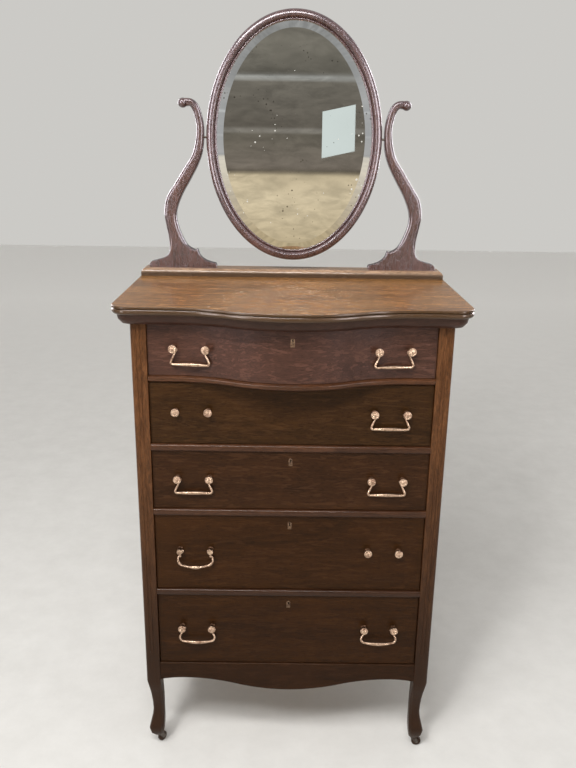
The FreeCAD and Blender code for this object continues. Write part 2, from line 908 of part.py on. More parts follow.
def make_harp(label, side):
    ball = harp_place(side, SCROLL_CENTRE_SHARES)
    top = on_circle(ball, s.scroll_radius, 90 + side * (SCROLL_TOP_ANGLE - 90))
    under = on_circle(ball, s.scroll_radius, 270 - side * (270 - SCROLL_UNDER_ANGLE))
    foot = tangent_arcs([harp_place(side, share) for share in HARP_FOOT_SHARES])
    inner = tangent_arcs([harp_place(side, share) for share in HARP_INNER_SHARES] + [top])
    outer = tangent_arcs([under] + [harp_place(side, share) for share in HARP_OUTER_SHARES])
    cove = tangent_arcs([harp_place(side, share) for share in HARP_COVE_SHARES])
    toe = [Vector(*harp_place(side, share), 0) for share in HARP_TOE_SHARES]
    outline = foot + inner + outer + cove[1:] + toe
    bevels = [s.harp_edge_bevel] * len(outline)
    bevels[outline.index(toe[1])] = 0.0
    face = mirror_y - s.harp_thickness / 2
    layers = [(mirror_y + s.harp_thickness / 2, outline), (face + s.harp_edge_bevel, outline)]
    layers.append((face, drawn_in(outline, bevels)))
    rings = [[Vector(corner.x, y, base_top + corner.y) for corner in corners] for y, corners in layers]
    high = s.harp_thickness / 2 + s.scroll_swell
    bevel = s.scroll_radius * SCROLL_BEVEL_SHARE
    steps = [(-high, s.scroll_radius - bevel), (bevel - high, s.scroll_radius)]
    steps += [(high - bevel, s.scroll_radius), (high, s.scroll_radius - bevel)]
    button = stacked([ring_of(SCROLL_FLAT_COUNT, radius, along) for along, radius in steps])
    spot = at(ball[0], mirror_y, base_top + ball[1], Rotation(Vector(1, 0, 0), 90))
    whole = doc.addObject("Part::MultiFuse", "HarpWithScroll")
    whole.Shapes = [solid("Arm", stacked(rings), Placement()), solid("Scroll", button, spot)]
    room = across_corners(s.pivot_pin_radius + s.running_clearance, PIN_FLAT_COUNT)
    outwards = Rotation(Vector(0, 1, 0), 90 * side).multiply(Rotation(Vector(0, 0, 1), 180 / PIN_FLAT_COUNT))
    mouth = at(side * (harp_inner - s.harp_gap), mirror_y, pivot_z, outwards)
    reach = "harp_gap + pivot_pin_reach + mortise_play"
    cut = doc.addObject("Part::Cut", label.title().replace("_", ""))
    cut.Base = whole
    cut.Tool = bar("PinRoom", PIN_FLAT_COUNT, room, reach, mouth)
    return keep(label, cut)


# Mirror: built lying flat with its face up, then stood up and tilted back


def mirror_stand():
    return at(0.0, mirror_y, pivot_z, Rotation(Vector(1, 0, 0), 90 - s.mirror_tilt))


def oval_radii():
    """Side, shoulder and end radii of the oval's tangent arcs."""
    a, b = mirror_half_width, s.mirror_half_height
    low, high = (math.radians(turn) for turn in OVAL_ANGLES)
    shoulder = (a * b) ** 2 / ((a**2 + b**2) / 2) ** 1.5
    across = a - shoulder * (math.cos(low) - math.cos(high))
    upright = b - shoulder * (math.sin(high) - math.sin(low))
    p, q = 1 - math.cos(low), math.cos(high)
    u, v = math.sin(low), 1 - math.sin(high)
    whole = p * v - q * u
    return (across * v - q * upright) / whole, shoulder, (p * upright - u * across) / whole


def oval_point(degrees, inset):
    """Point of the oval whose outward direction has this angle, moved inwards by inset."""
    side, shoulder, end = oval_radii()
    low, high = OVAL_ANGLES
    turn = math.radians(degrees)
    x_sign = 1 if math.cos(turn) >= 0 else -1
    y_sign = 1 if math.sin(turn) >= 0 else -1
    quadrant = math.degrees(math.atan2(abs(math.sin(turn)), abs(math.cos(turn))))
    centre = (mirror_half_width - side, 0.0)
    radius = side
    if quadrant > low:
        centre = on_circle(centre, side - shoulder, low)
        radius = shoulder
    if quadrant > high:
        centre = on_circle(centre, shoulder - end, high)
        radius = end
    x, y = on_circle(centre, radius - inset, quadrant)
    return (x_sign * x, y_sign * y)


def oval_stack(name, steps, hollow=False):
    """A piece of the mirror: ovals of even distance, each at a height and an inset from the frame's rim."""
    turns = [360 * index / OVAL_FLAT_COUNT for index in range(OVAL_FLAT_COUNT)]
    rings = [[Vector(*oval_point(turn, inset), height) for turn in turns] for height, inset in steps]
    return solid(name, stacked(rings, hollow), mirror_stand())


def frame_steps():
    """Section of the frame: up its outer edge, over the crown and the inner bead, back by the rebate."""
    bead = s.frame_bead_radius
    crown_width = s.frame_width - 2 * bead
    rebate = s.frame_width - s.rebate_width
    return [
        (-s.frame_depth, 0.0),
        (0.0, 0.0),
        (s.frame_crown, crown_width * CROWN_SHARE),
        (bead, crown_width),
        (2 * bead, crown_width + bead),
        (bead, s.frame_width),
        (0.0, s.frame_width),
        (0.0, rebate),
        (-s.frame_depth, rebate),
    ]


def pin_place(side):
    """Where a pivot pin begins inside the frame, with its length outwards."""
    seat = mirror_stand().multiply(at(side * (mirror_half_width - s.pivot_pin_seat)))
    outwards = Rotation(Vector(0, 1, 0), 90 * side).multiply(Rotation(Vector(0, 0, 1), 180 / PIN_FLAT_COUNT))
    return seat.multiply(at(turn=outwards))


def make_mirror_frame():
    ring = oval_stack("FrameRing", frame_steps(), hollow=True)
    reach = "pivot_pin_seat + mortise_play"
    bores = [bar("PinBore", PIN_FLAT_COUNT, "pivot_pin_radius", reach, pin_place(side)) for side in (-1, 1)]
    tools = doc.addObject("Part::Compound", "PinBores")
    tools.Links = bores
    cut = doc.addObject("Part::Cut", "MirrorFrame")
    cut.Base = ring
    cut.Tool = tools
    return keep("mirror_frame", cut)


def make_mirror_glass():
    edge = s.frame_width - s.rebate_width + s.glass_play
    under_lip = s.bevel_depth * (s.rebate_width - s.glass_play) / s.bevel_width
    shoulder = -under_lip - s.running_clearance
    face = shoulder + s.bevel_depth
    rear = face - s.glass_thickness
    steps = [(rear, edge), (shoulder, edge), (face, edge + s.bevel_width)]
    return keep("mirror_glass", oval_stack("Plate", steps)), rear


def make_mirror_backboard(glass_rear):
    edge = s.frame_width - s.rebate_width + s.glass_play / 2
    steps = [(glass_rear - s.backboard_thickness, edge), (glass_rear, edge)]
    return keep("mirror_backboard", oval_stack("Backboard", steps))


def make_pivot_pins():
    length = "pivot_pin_seat + harp_gap + pivot_pin_reach"
    pins = [bar("PivotPin", PIN_FLAT_COUNT, "pivot_pin_radius", length, pin_place(side)) for side in (-1, 1)]
    return group("pivot_pins", pins)


# Drawer fronts


def arch(width, height, middle):
    """Outline with a flat foot and a round head; its head is centred on middle."""
    half = width / 2
    low = middle - (height - half)
    crown = [on_circle((0.0, middle), half, turn) for turn in (0, 45, 90, 135, 180)]
    return closed(crown + [(-half, low), (half, low)])


def keyhole(middle):
    """Hole with a slot below it, as one outline."""
    half = s.keyhole_slot_width / 2
    meet = math.degrees(math.asin(half / s.keyhole_radius))
    low = middle - s.keyhole_slot_length
    turns = [meet - 90 + (360 - 2 * meet) * share / 5 for share in range(6)]
    points = [on_circle((0.0, middle), s.keyhole_radius, turn) for turn in turns]
    return closed(points + [(-half, low), (half, low)])


def pull_places(number):
    """Placement of each pull on a drawer: on its face, turned to suit the curve of the top drawer."""
    low, high = openings[number]
    z = low + (high - low) * PULL_HEIGHT_SHARE
    places = {}
    for name, side in (("left", -1), ("right", 1)):
        near = pull_reach - s.pull_spacing / 2
        far = pull_reach + s.pull_spacing / 2
        y_near = y_far = front + s.drawer_recess
        seat = 0.0
        if number == 1:
            y_near -= serpentine_depth(near, -s.drawer_recess)
            y_far -= serpentine_depth(far, -s.drawer_recess)
            seat = s.post_seat
        turn = math.degrees(math.atan2(y_far - y_near, far - near)) * side
        middle = at(side * pull_reach, (y_near + y_far) / 2, z, Rotation(Vector(0, 0, 1), turn))
        places[name] = middle.multiply(at(y=seat))
    return places


def front_outline(number):
    """Plan or face of a drawer front."""
    half = post_inner - s.drawer_gap
    if number == 1:
        rear = serpentine(-s.drawer_recess - s.front_thickness, half)
        face = serpentine(-s.drawer_recess, half)
        near = front + s.drawer_recess
        far = near + s.front_thickness
        return face + rear + [line((-half, near), (-half, far)), line((half, near), (half, far))]
    low, high = openings[number]
    return rectangle(-half, low + s.drawer_gap, half, high - s.drawer_gap)


def make_drawer_front(number):
    low, high = openings[number]
    body = new_body(f"Front{number}")
    face = face_y(number)
    middle = high - s.key_drop
    if number == 1:
        height = high - low - 2 * s.drawer_gap
        grow(body, new_sketch(body, front_outline(1), rise=low + s.drawer_gap), height)
    else:
        sketch = new_sketch(body, front_outline(number), "XZ_Plane", rise=-face)
        grow(body, sketch, "front_thickness", backwards=True)
    if number != 2:
        outline = arch(s.escutcheon_width, s.escutcheon_height, middle)
        recess = new_sketch(body, outline, "XZ_Plane", rise=-face)
        grow(body, recess, "escutcheon_thickness", "Pocket")
        hole = new_sketch(body, keyhole(middle), "XZ_Plane", rise=-face)
        grow(body, hole, "lock_cover", "Pocket")
        half = s.lock_width / 2
        lock_top = high - s.drawer_gap
        pocket = rectangle(-half, lock_top - s.lock_height, half, lock_top)
        mortise = new_sketch(body, pocket, "XZ_Plane", rise=-face - s.lock_cover)
        grow(body, mortise, "2 * front_thickness", "Pocket")
    drills = []
    seat = s.post_seat if number == 1 else 0.0
    into = Rotation(Vector(1, 0, 0), -90)
    for place in pull_places(number).values():
        for offset in (-s.pull_spacing / 2, s.pull_spacing / 2):
            hole = place.multiply(at(offset, 0, 0, into))
            length = s.front_thickness - 2 * seat
            drills.append(bar("Drill", NUT_FLAT_COUNT, "pull_shank_radius", length, hole))
            if seat:
                spot = place.multiply(at(offset, -s.pull_flange_radius, 0, into))
                room = "pull_flange_radius + runner_play"
                drills.append(bar("SpotFace", NECK_FLAT_COUNT, room, "pull_flange_radius", spot))
                spot = place.multiply(at(offset, length, 0, into))
                room = "pull_nut_radius + runner_play"
                drills.append(bar("NutSeat", NUT_FLAT_COUNT, room, "pull_nut_radius", spot))
    tools = doc.addObject("Part::Compound", f"Drills{number}")
    tools.Links = drills
    cut = doc.addObject("Part::Cut", f"DrilledFront{number}")
    cut.Base = body
    cut.Tool = tools
    return keep(f"drawer_{number}_front", cut)


# Drawer boxes: two sides, a back and a bottom


def make_drawer_box(number):
    low, high = openings[number]
    outer = post_inner - s.box_side_play
    inner = outer - s.box_side_thickness
    near = front + s.drawer_recess + s.front_thickness
    floor = low + s.runner_play
    tall = high - low - s.runner_play - s.box_headroom
    rear = near + size_of(BOX_LENGTH) - s.box_back_thickness
    pieces = []
    for x in (-outer, inner):
        pieces.append(block("DrawerSide", "box_side_thickness", BOX_LENGTH, tall, x, near, floor))
    width = "case_width - 2 * post_width - 2 * box_side_play - 2 * box_side_thickness"
    pieces.append(block("DrawerBack", width, "box_back_thickness", tall, -inner, rear, floor))
    level = floor + s.box_bottom_rise
    if number == 1:
        body = new_body("DrawerBottom")
        outline = [
            *serpentine(-s.drawer_recess - s.front_thickness, inner),
            line((inner, near), (inner, rear)),
            line((inner, rear), (-inner, rear)),
            line((-inner, rear), (-inner, near)),
        ]
        grow(body, new_sketch(body, outline, rise=level), "box_bottom_thickness")
        pieces.append(body)
    else:
        run = BOX_LENGTH + " - box_back_thickness"
        pieces.append(block("DrawerBottom", width, run, "box_bottom_thickness", -inner, near, level))
    return group(f"drawer_{number}_box", pieces)


# Pull posts: a turned knob with a cross hole in its neck, and the cap nut inside the drawer


def make_pull_post(placement, inwards, shank):
    flange = s.pull_flange_thickness
    neck = flange + s.pull_neck_length
    foot = [(0.0, s.pull_flange_radius), (flange, s.pull_neck_radius), (neck, s.pull_neck_radius)]
    head = [(neck, s.pull_head_radius), (neck + s.pull_head_thickness, s.pull_face_radius)]
    post = stacked([ring_of(NECK_FLAT_COUNT, radius, along, turned=0.0) for along, radius in foot])
    post = post.fuse(stacked([ring_of(HEAD_FLAT_COUNT, radius, along) for along, radius in head]))
    shank_rings = [ring_of(NUT_FLAT_COUNT, s.pull_shank_radius, along, turned=0.0) for along in (-shank, 0.0)]
    post = post.fuse(stacked(shank_rings))
    hole = across_corners(s.bail_pin_radius + s.running_clearance, NECK_FLAT_COUNT)
    ends = sorted([-inwards * s.bail_pin_bite, inwards * neck])
    bore = stacked([ring_of(NECK_FLAT_COUNT, hole, along) for along in ends])
    bore.Placement = at(z=s.pivot_height, turn=Rotation(Vector(0, 1, 0), 90))
    return solid("PullPost", post.cut(bore).removeSplitter(), placement)


def make_pull_posts(number):
    seat = s.post_seat if number == 1 else 0.0
    shank = s.front_thickness - 2 * seat
    outwards = Rotation(Vector(1, 0, 0), 90)
    members = []
    for place in pull_places(number).values():
        for side in (-1, 1):
            spot = place.multiply(at(side * s.pull_spacing / 2, 0, 0, outwards))
            members.append(make_pull_post(spot, -side, shank))
            nut = spot.multiply(at(z=-shank - s.pull_nut_thickness))
            members.append(bar("CapNut", NUT_FLAT_COUNT, "pull_nut_radius", "pull_nut_thickness", nut))
    return group(f"drawer_{number}_pull_posts", members)


# Bails: forged wire handles that hang in the posts


def bail_arm(half, drop):
    """Centre line of the right-hand arm, from the pin's tip to the end of the bottom corner."""
    splay = math.radians(s.bail_splay)
    bend = s.bail_bend_radius
    corner = s.bail_corner_radius
    tip = s.pull_spacing / 2 + s.bail_pin_bite / 2
    bend_centre = (s.pull_spacing / 2 - s.pull_neck_radius - s.bail_pin_bite, -bend)
    out = on_circle(bend_centre, bend, 180 + s.bail_splay)
    across = half - out[0]
    down = drop - corner + out[1]
    widen = 1 - math.cos(splay)
    whole = math.sin(splay) ** 2 - math.cos(splay) * widen
    curve = (math.sin(splay) * down - math.cos(splay) * across) / whole
    curve_centre = (half - curve, corner - drop)
    points = [(tip, 0.0)]
    points += [on_circle(bend_centre, bend, 90 + (90 + s.bail_splay) * share) for share in (0.0, 0.5, 1.0)]
    points += [on_circle(curve_centre, curve, s.bail_splay * share) for share in (1.0, 0.5, 0.0)]
    points.append((half - corner, -drop))
    return points


def make_bail(label, place, old=False):
    body = new_body("BailWire", place.multiply(at(y=-s.pivot_height)))
    half = s.old_bail_half_width if old else s.bail_half_width
    drop = s.old_bail_drop if old else s.bail_drop
    points = bail_arm(half, drop)
    for side in (-1, 1):
        path = [(side * x, z) for x, z in points]
        spine = new_sketch(body, [line(a, b) for a, b in zip(path, path[1:])], "XZ_Plane")
        wire = new_sketch(body, polygon(WIRE_FLAT_COUNT, s.bail_pin_radius), "YZ_Plane", rise=path[0][0])
        sweep(body, wire, spine, mitred=True)
    reach = points[-1][0]
    thin = s.bail_wire_radius
    if old:
        ball = s.old_bail_ball_radius
        end = s.old_bail_grip_half_length
        thick = s.old_bail_grip_radius
        half_steps = [(reach, thin), (end + ball, thin), (end, ball), (end - ball, thin), (0.0, thick)]
    else:
        half_steps = [(reach, thin), (0.0, s.bail_grip_radius)]
    steps = [(-x, radius) for x, radius in half_steps] + [step for step in reversed(half_steps[:-1])]
    along_x = at(z=-drop, turn=Rotation(Vector(0, 1, 0), 90))
    rings = [ring_of(WIRE_FLAT_COUNT, radius, x, turned=0.0) for x, radius in steps]
    grip = solid("Grip", stacked(rings), body.Placement.multiply(along_x))
    whole = doc.addObject("Part::MultiFuse", "Bail")
    whole.Shapes = [body, grip]
    return keep(label, whole)


# Locks


def make_lock(number):
    high = openings[number][1]
    middle = high - s.key_drop
    face = face_y(number)
    plate = new_body("Escutcheon")
    outline = arch(s.escutcheon_width, s.escutcheon_height, middle)
    sketch = new_sketch(plate, outline, "XZ_Plane", rise=-face)
    grow(plate, sketch, "escutcheon_thickness", backwards=True)
    grow(plate, new_sketch(plate, keyhole(middle), "XZ_Plane", rise=-face), "lock_cover", "Pocket")
    case = new_body("LockCase")
    half = s.lock_width / 2
    lock_top = high - s.drawer_gap
    near = face + s.lock_cover
    outline = rectangle(-half, lock_top - s.lock_height, half, lock_top)
    sketch = new_sketch(case, outline, "XZ_Plane", rise=-near)
    grow(case, sketch, "front_thickness - lock_cover", backwards=True)
    half_long = s.bolt_width / 2 + s.bolt_play
    half_thick = s.bolt_thickness / 2 + s.bolt_play
    y = bolt_y(number)
    slot = rectangle(-half_long, y - half_thick, half_long, y + half_thick)
    grow(case, new_sketch(case, slot, rise=lock_top), "bolt_height + bolt_play", "Pocket")
    hole = new_sketch(case, keyhole(middle), "XZ_Plane", rise=-near)
    grow(case, hole, "lock_cover - bolt_thickness", "Pocket")
    group(f"drawer_{number}_lock", [plate, case])
    bolt = block(
        "LockBolt",
        "bolt_width",
        "bolt_thickness",
        "bolt_height",
        -s.bolt_width / 2,
        y - s.bolt_thickness / 2,
        lock_top - s.bolt_height,
    )
    return keep(f"drawer_{number}_lock_bolt", bolt)


# Casters


def make_caster_sockets():
    sockets = []
    room = across_corners(s.stem_radius + s.running_clearance, STEM_FLAT_COUNT)
    for side, rear in ((-1, False), (1, False), (-1, True), (1, True)):
        x, y = foot_centre(side, rear)
        body = new_body("CasterSocket", at(x, y, s.foot_height))
        flange = polygon(HEAD_FLAT_COUNT, s.socket_flange_radius, turned=0.0)
        grow(body, new_sketch(body, flange), "socket_flange_thickness")
        tube = polygon(STEM_FLAT_COUNT, room + s.socket_wall, turned=0.0)
        grow(body, new_sketch(body, tube), "socket_length")
        bore = new_sketch(body, polygon(STEM_FLAT_COUNT, room, turned=0.0))
        grow(body, bore, "socket_length", "Pocket", backwards=True)
        sockets.append(body)
    return group("caster_sockets", sockets)


def caster_place(side, rear):
    x, y = foot_centre(side, rear)
    name = ("back" if rear else "front") + ("_left" if side < 0 else "_right")
    return name, at(x, y, 0.0, Rotation(Vector(0, 0, 1), CASTER_SWIVELS[name]))


def make_caster(side, rear):
    name, place = caster_place(side, rear)
    body = new_body("CasterFork", place)
    plate_top = s.foot_height - s.fork_plate_play
    plate_low = plate_top - s.fork_plate_thickness
    plate = new_sketch(body, polygon(HEAD_FLAT_COUNT, s.fork_plate_radius), rise=plate_low)
    grow(body, plate, "fork_plate_thickness")
    stem = new_sketch(body, polygon(STEM_FLAT_COUNT, s.stem_radius, turned=0.0), rise=plate_top)
    grow(body, stem, "stem_length")
    eye = (s.caster_trail, s.wheel_radius)
    wide = s.fork_plate_radius * FORK_ROOT_SHARE
    inner = s.wheel_width / 2 + s.wheel_play
    outer = inner + s.fork_arm_thickness
    tip = [on_circle(eye, s.fork_eye_radius, turn) for turn in (0, -60, -120, -180)]
    root = plate_low + s.fork_plate_thickness / 2
    for cheek in (-1, 1):
        outline = closed([(-wide, root), (wide, root)] + tip)
        sketch = new_sketch(body, outline, "XZ_Plane", rise=-cheek * inner)
        grow(body, sketch, "fork_arm_thickness", backwards=cheek > 0)
        outline = polygon(STEM_FLAT_COUNT, s.axle_head_radius, *eye)
        head = new_sketch(body, outline, "XZ_Plane", rise=-cheek * outer)
        grow(body, head, "axle_head_height", backwards=cheek > 0)
    axle = new_sketch(body, polygon(STEM_FLAT_COUNT, s.axle_radius, *eye), "XZ_Plane", rise=-inner)
    grow(body, axle, "wheel_width + 2 * wheel_play")
    keep(f"caster_fork_{name}", body)
    hub = place.multiply(at(eye[0], 0.0, eye[1], Rotation(Vector(1, 0, 0), 90)))
    half = s.wheel_width / 2
    soft = s.wheel_edge_radius
    steps = [(-half, s.wheel_radius - soft), (soft - half, s.wheel_radius)]
    steps += [(half - soft, s.wheel_radius), (half, s.wheel_radius - soft)]
    rings = [ring_of(WHEEL_FLAT_COUNT, radius, along) for along, radius in steps]
    tyre = solid("WheelBlank", stacked(rings), hub)
    room = across_corners(s.axle_radius + s.running_clearance, STEM_FLAT_COUNT)
    bore = bar("WheelBore", STEM_FLAT_COUNT, room, "wheel_width", hub.multiply(at(z=-half)))
    wheel = doc.addObject("Part::Cut", "Wheel")
    wheel.Base = tyre
    wheel.Tool = bore
    return keep(f"caster_wheel_{name}", wheel)


# Assembly

make_top_board()
make_top_moulding()
for label, side, rear in (
    ("front_left_post", -1, False),
    ("front_right_post", 1, False),
    ("back_left_post", -1, True),
    ("back_right_post", 1, True),
):
    make_post(label, side, rear)
    make_caster(side, rear)
make_caster_sockets()
make_sides()
make_curved_rail()
make_drawer_rails()
make_apron()
make_runners()
make_back_panel()
make_mirror_base()
make_harp("left_harp", -1)
make_harp("right_harp", 1)
make_mirror_frame()
_, glass_rear = make_mirror_glass()
make_mirror_backboard(glass_rear)
make_pivot_pins()
BARE_POSTS = {(2, "left"), (4, "right")}
OLD_BAILS = {(4, "left")}
for number in sorted(openings):
    make_drawer_front(number)
    make_drawer_box(number)
    make_pull_posts(number)
    for name, place in pull_places(number).items():
        if (number, name) not in BARE_POSTS:
            make_bail(f"drawer_{number}_{name}_bail", place, (number, name) in OLD_BAILS)
    if number != 2:
        make_lock(number)

doc.recompute()

# Checks before anything is written
for item in doc.Objects:
    faults = {"Invalid", "Error"} & set(item.State)
    if faults:
        raise RuntimeError(f"{item.Name} ({item.Label}) is in state {sorted(faults)}")
for label, feature in made.items():
    shape = feature.Shape
    if shape.isNull() or not shape.isValid() or shape.Volume <= 0:
        raise RuntimeError(f"{label} has no sound shape")

for label, feature in made.items():
    feature.Shape.exportStep(f"parts/{label}.step")
print(len(made), "sub-parts written")
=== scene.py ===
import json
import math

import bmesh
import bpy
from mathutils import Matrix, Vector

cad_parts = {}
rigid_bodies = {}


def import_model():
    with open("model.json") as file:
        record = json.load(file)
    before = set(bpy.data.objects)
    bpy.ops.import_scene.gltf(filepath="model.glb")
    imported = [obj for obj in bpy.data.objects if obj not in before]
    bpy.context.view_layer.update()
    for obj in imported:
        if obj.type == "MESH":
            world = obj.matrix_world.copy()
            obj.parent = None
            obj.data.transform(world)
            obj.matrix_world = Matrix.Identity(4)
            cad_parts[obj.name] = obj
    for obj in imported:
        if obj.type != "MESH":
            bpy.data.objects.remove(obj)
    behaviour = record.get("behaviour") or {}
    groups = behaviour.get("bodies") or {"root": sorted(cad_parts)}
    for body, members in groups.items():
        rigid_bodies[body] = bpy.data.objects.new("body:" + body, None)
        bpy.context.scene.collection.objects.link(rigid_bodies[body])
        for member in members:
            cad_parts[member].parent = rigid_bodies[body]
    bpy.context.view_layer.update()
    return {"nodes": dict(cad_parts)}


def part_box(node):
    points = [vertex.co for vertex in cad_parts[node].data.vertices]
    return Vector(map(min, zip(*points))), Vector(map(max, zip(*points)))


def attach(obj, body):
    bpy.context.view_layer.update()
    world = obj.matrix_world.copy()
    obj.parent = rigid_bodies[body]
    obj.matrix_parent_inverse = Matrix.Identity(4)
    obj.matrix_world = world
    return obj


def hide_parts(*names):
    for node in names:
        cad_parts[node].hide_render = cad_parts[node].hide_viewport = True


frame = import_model()

# %% [markdown]
# A tall chest of drawers with an oval mirror. The joiner's part is already on the bench:
# every board, pin and wheel stands where the measured drawing puts it. What is left is the
# look of it. We dress the boards in old varnished oak, round what the plain solids leave
# angular, silver the glass and set the piece under soft light. Sizes are in metres, X runs to
# the right, the drawers open towards -Y and Z is up.

nodes = frame["nodes"]

# %% [markdown]
# Most finishes here are woods, and a wood is a stack of patterns: slow changes of colour
# along the board, fine streaks, open pores drawn out along the grain, and in quarter-sawn
# oak the pale ribbons that cross it. All four are noise, read through a coordinate that is
# squeezed along the grain. A small set of helpers keeps the node trees readable, so that
# each finish below is a list of patterns and not a tangle.


# %% Helpers for node trees
class Finish:
    """A material under construction: adds nodes and joins them in one call."""

    def __init__(self, name):
        self.material = bpy.data.materials.new(name)
        self.material.use_nodes = True
        self.tree = self.material.node_tree
        self.surface = self.tree.nodes["Principled BSDF"]

    def put(self, kind, **inputs):
        node = self.tree.nodes.new(kind)
        for name, value in inputs.items():
            self.feed(node, name.replace("_", " "), value)
        return node

    def feed(self, node, name, value):
        """Gives a socket a plain value, or joins another node's output to it."""
        socket = node.inputs[name] if isinstance(name, int) else self.find(node, name)
        if isinstance(value, bpy.types.NodeSocket):
            self.tree.links.new(value, socket)
        elif isinstance(value, tuple) and len(value) == 3 and socket.type == "RGBA":
            socket.default_value = (*value, 1.0)
        else:
            socket.default_value = value

    def find(self, node, name):
        for socket in node.inputs:
            if socket.name.lower() == name.lower() and socket.enabled:
                return socket
        raise KeyError(f"{node.bl_idname} has no input {name}")

    def place(self, stretch=(1.0, 1.0, 1.0), turn=(0.0, 0.0, 0.0), shift=(0.0, 0.0, 0.0)):
        """The piece's own coordinates, stretched, turned and shifted."""
        where = self.put("ShaderNodeTexCoord")
        squeeze = self.put("ShaderNodeMapping", Vector=where.outputs["Object"])
        squeeze.inputs["Scale"].default_value = stretch
        squeeze.inputs["Rotation"].default_value = turn
        squeeze.inputs["Location"].default_value = shift
        return squeeze.outputs["Vector"]

    def noise(self, where, scale, detail=4.0, rough=0.55, twist=0.0):
        made = self.put("ShaderNodeTexNoise", Vector=where, Scale=scale, Detail=detail)
        made.inputs["Roughness"].default_value = rough
        made.inputs["Distortion"].default_value = twist
        return made.outputs["Fac"]

    def ramp(self, value, *stops):
        """Turns a number into another number or a colour, by stops of (place, value)."""
        made = self.put("ShaderNodeValToRGB", Fac=value)
        edge = made.color_ramp.elements
        while len(edge) < len(stops):
            edge.new(0.5)
        for element, (at, what) in zip(edge, stops):
            element.position = at
            element.color = (*what, 1.0) if isinstance(what, tuple) else (what, what, what, 1.0)
        return made.outputs["Color"]

    def mix(self, share, one, other, how="MIX"):
        made = self.tree.nodes.new("ShaderNodeMix")
        made.data_type = "RGBA"
        made.blend_type = how
        self.feed(made, 0, share)
        for index, colour in ((6, one), (7, other)):
            self.feed(made, index, colour)
        return made.outputs[2]

    def sums(self, how, one, other):
        made = self.tree.nodes.new("ShaderNodeMath")
        made.operation = how
        self.feed(made, 0, one)
        self.feed(made, 1, other)
        return made.outputs[0]

    def times(self, one, other):
        return self.sums("MULTIPLY", one, other)

    def plus(self, one, other):
        return self.sums("ADD", one, other)

    def split(self, vector):
        """The components of a vector, by the names X, Y and Z."""
        return self.put("ShaderNodeSeparateXYZ", Vector=vector).outputs

    def look(self, **values):
        """Feeds the sockets of the surface; an underscore stands for a blank."""
        for name, value in values.items():
            self.feed(self.surface, name.replace("_", " "), value)

    def relief(self, height, strength, depth):
        bump = self.put("ShaderNodeBump", Height=height, Strength=strength, Distance=depth)
        self.tree.links.new(bump.outputs["Normal"], self.surface.inputs["Normal"])


def limited(value):
    """The value, kept between nought and one."""
    return min(1.0, max(0.0, value))


print("helpers ready")

# %% [markdown]
# Old oak under a century of varnish. The real fronts are quarter-sawn: thin dark pores run
# along the board, and pale flecks cross them in short wavy ribbons. The varnish has
# darkened to a reddish brown, and it has worn thin where hands and dusters pass, so the
# shine is uneven. Some light and shade is painted into the colour. Faces of the moulded
# edges that don't look up are painted darker, as painted shade, and posts and rails get
# painted shade towards the floor. One recipe makes every wooden finish here. Only its
# numbers differ, because the boards came from one workshop.


# %% The recipe for varnished oak
ALONG = {"x": (1.0, 7.0, 7.0), "y": (7.0, 1.0, 7.0), "z": (7.0, 7.0, 1.0)}
LEAN_OF_FLECK = {"x": (0.0, 0.22, 0.16), "y": (0.22, 0.0, 0.16), "z": (0.2, 0.16, 0.0)}


def scaled(vector, factor):
    return tuple(component * factor for component in vector)


def lightened(colour, factor, lift):
    return tuple(min(1.0, component * factor + lift) for component in colour)


def worn_edges(made, radius=0.0016):
    """One on the arrises of a board and nought on its flats, broken up a little."""
    rounded = made.tree.nodes.new("ShaderNodeBevel")
    rounded.samples = 4
    rounded.inputs["Radius"].default_value = radius
    flat = made.tree.nodes.new("ShaderNodeNewGeometry")
    turn = made.tree.nodes.new("ShaderNodeVectorMath")
    turn.operation = "DOT_PRODUCT"
    made.tree.links.new(rounded.outputs["Normal"], turn.inputs[0])
    made.tree.links.new(flat.outputs["Normal"], turn.inputs[1])
    bare_edge = made.ramp(turn.outputs["Value"], (0.80, 1.0), (0.985, 0.0))
    broken = made.ramp(made.noise(made.place(), 38.0, 4.0, 0.6), (0.35, 0.25), (0.60, 1.0))
    return made.times(bare_edge, broken)


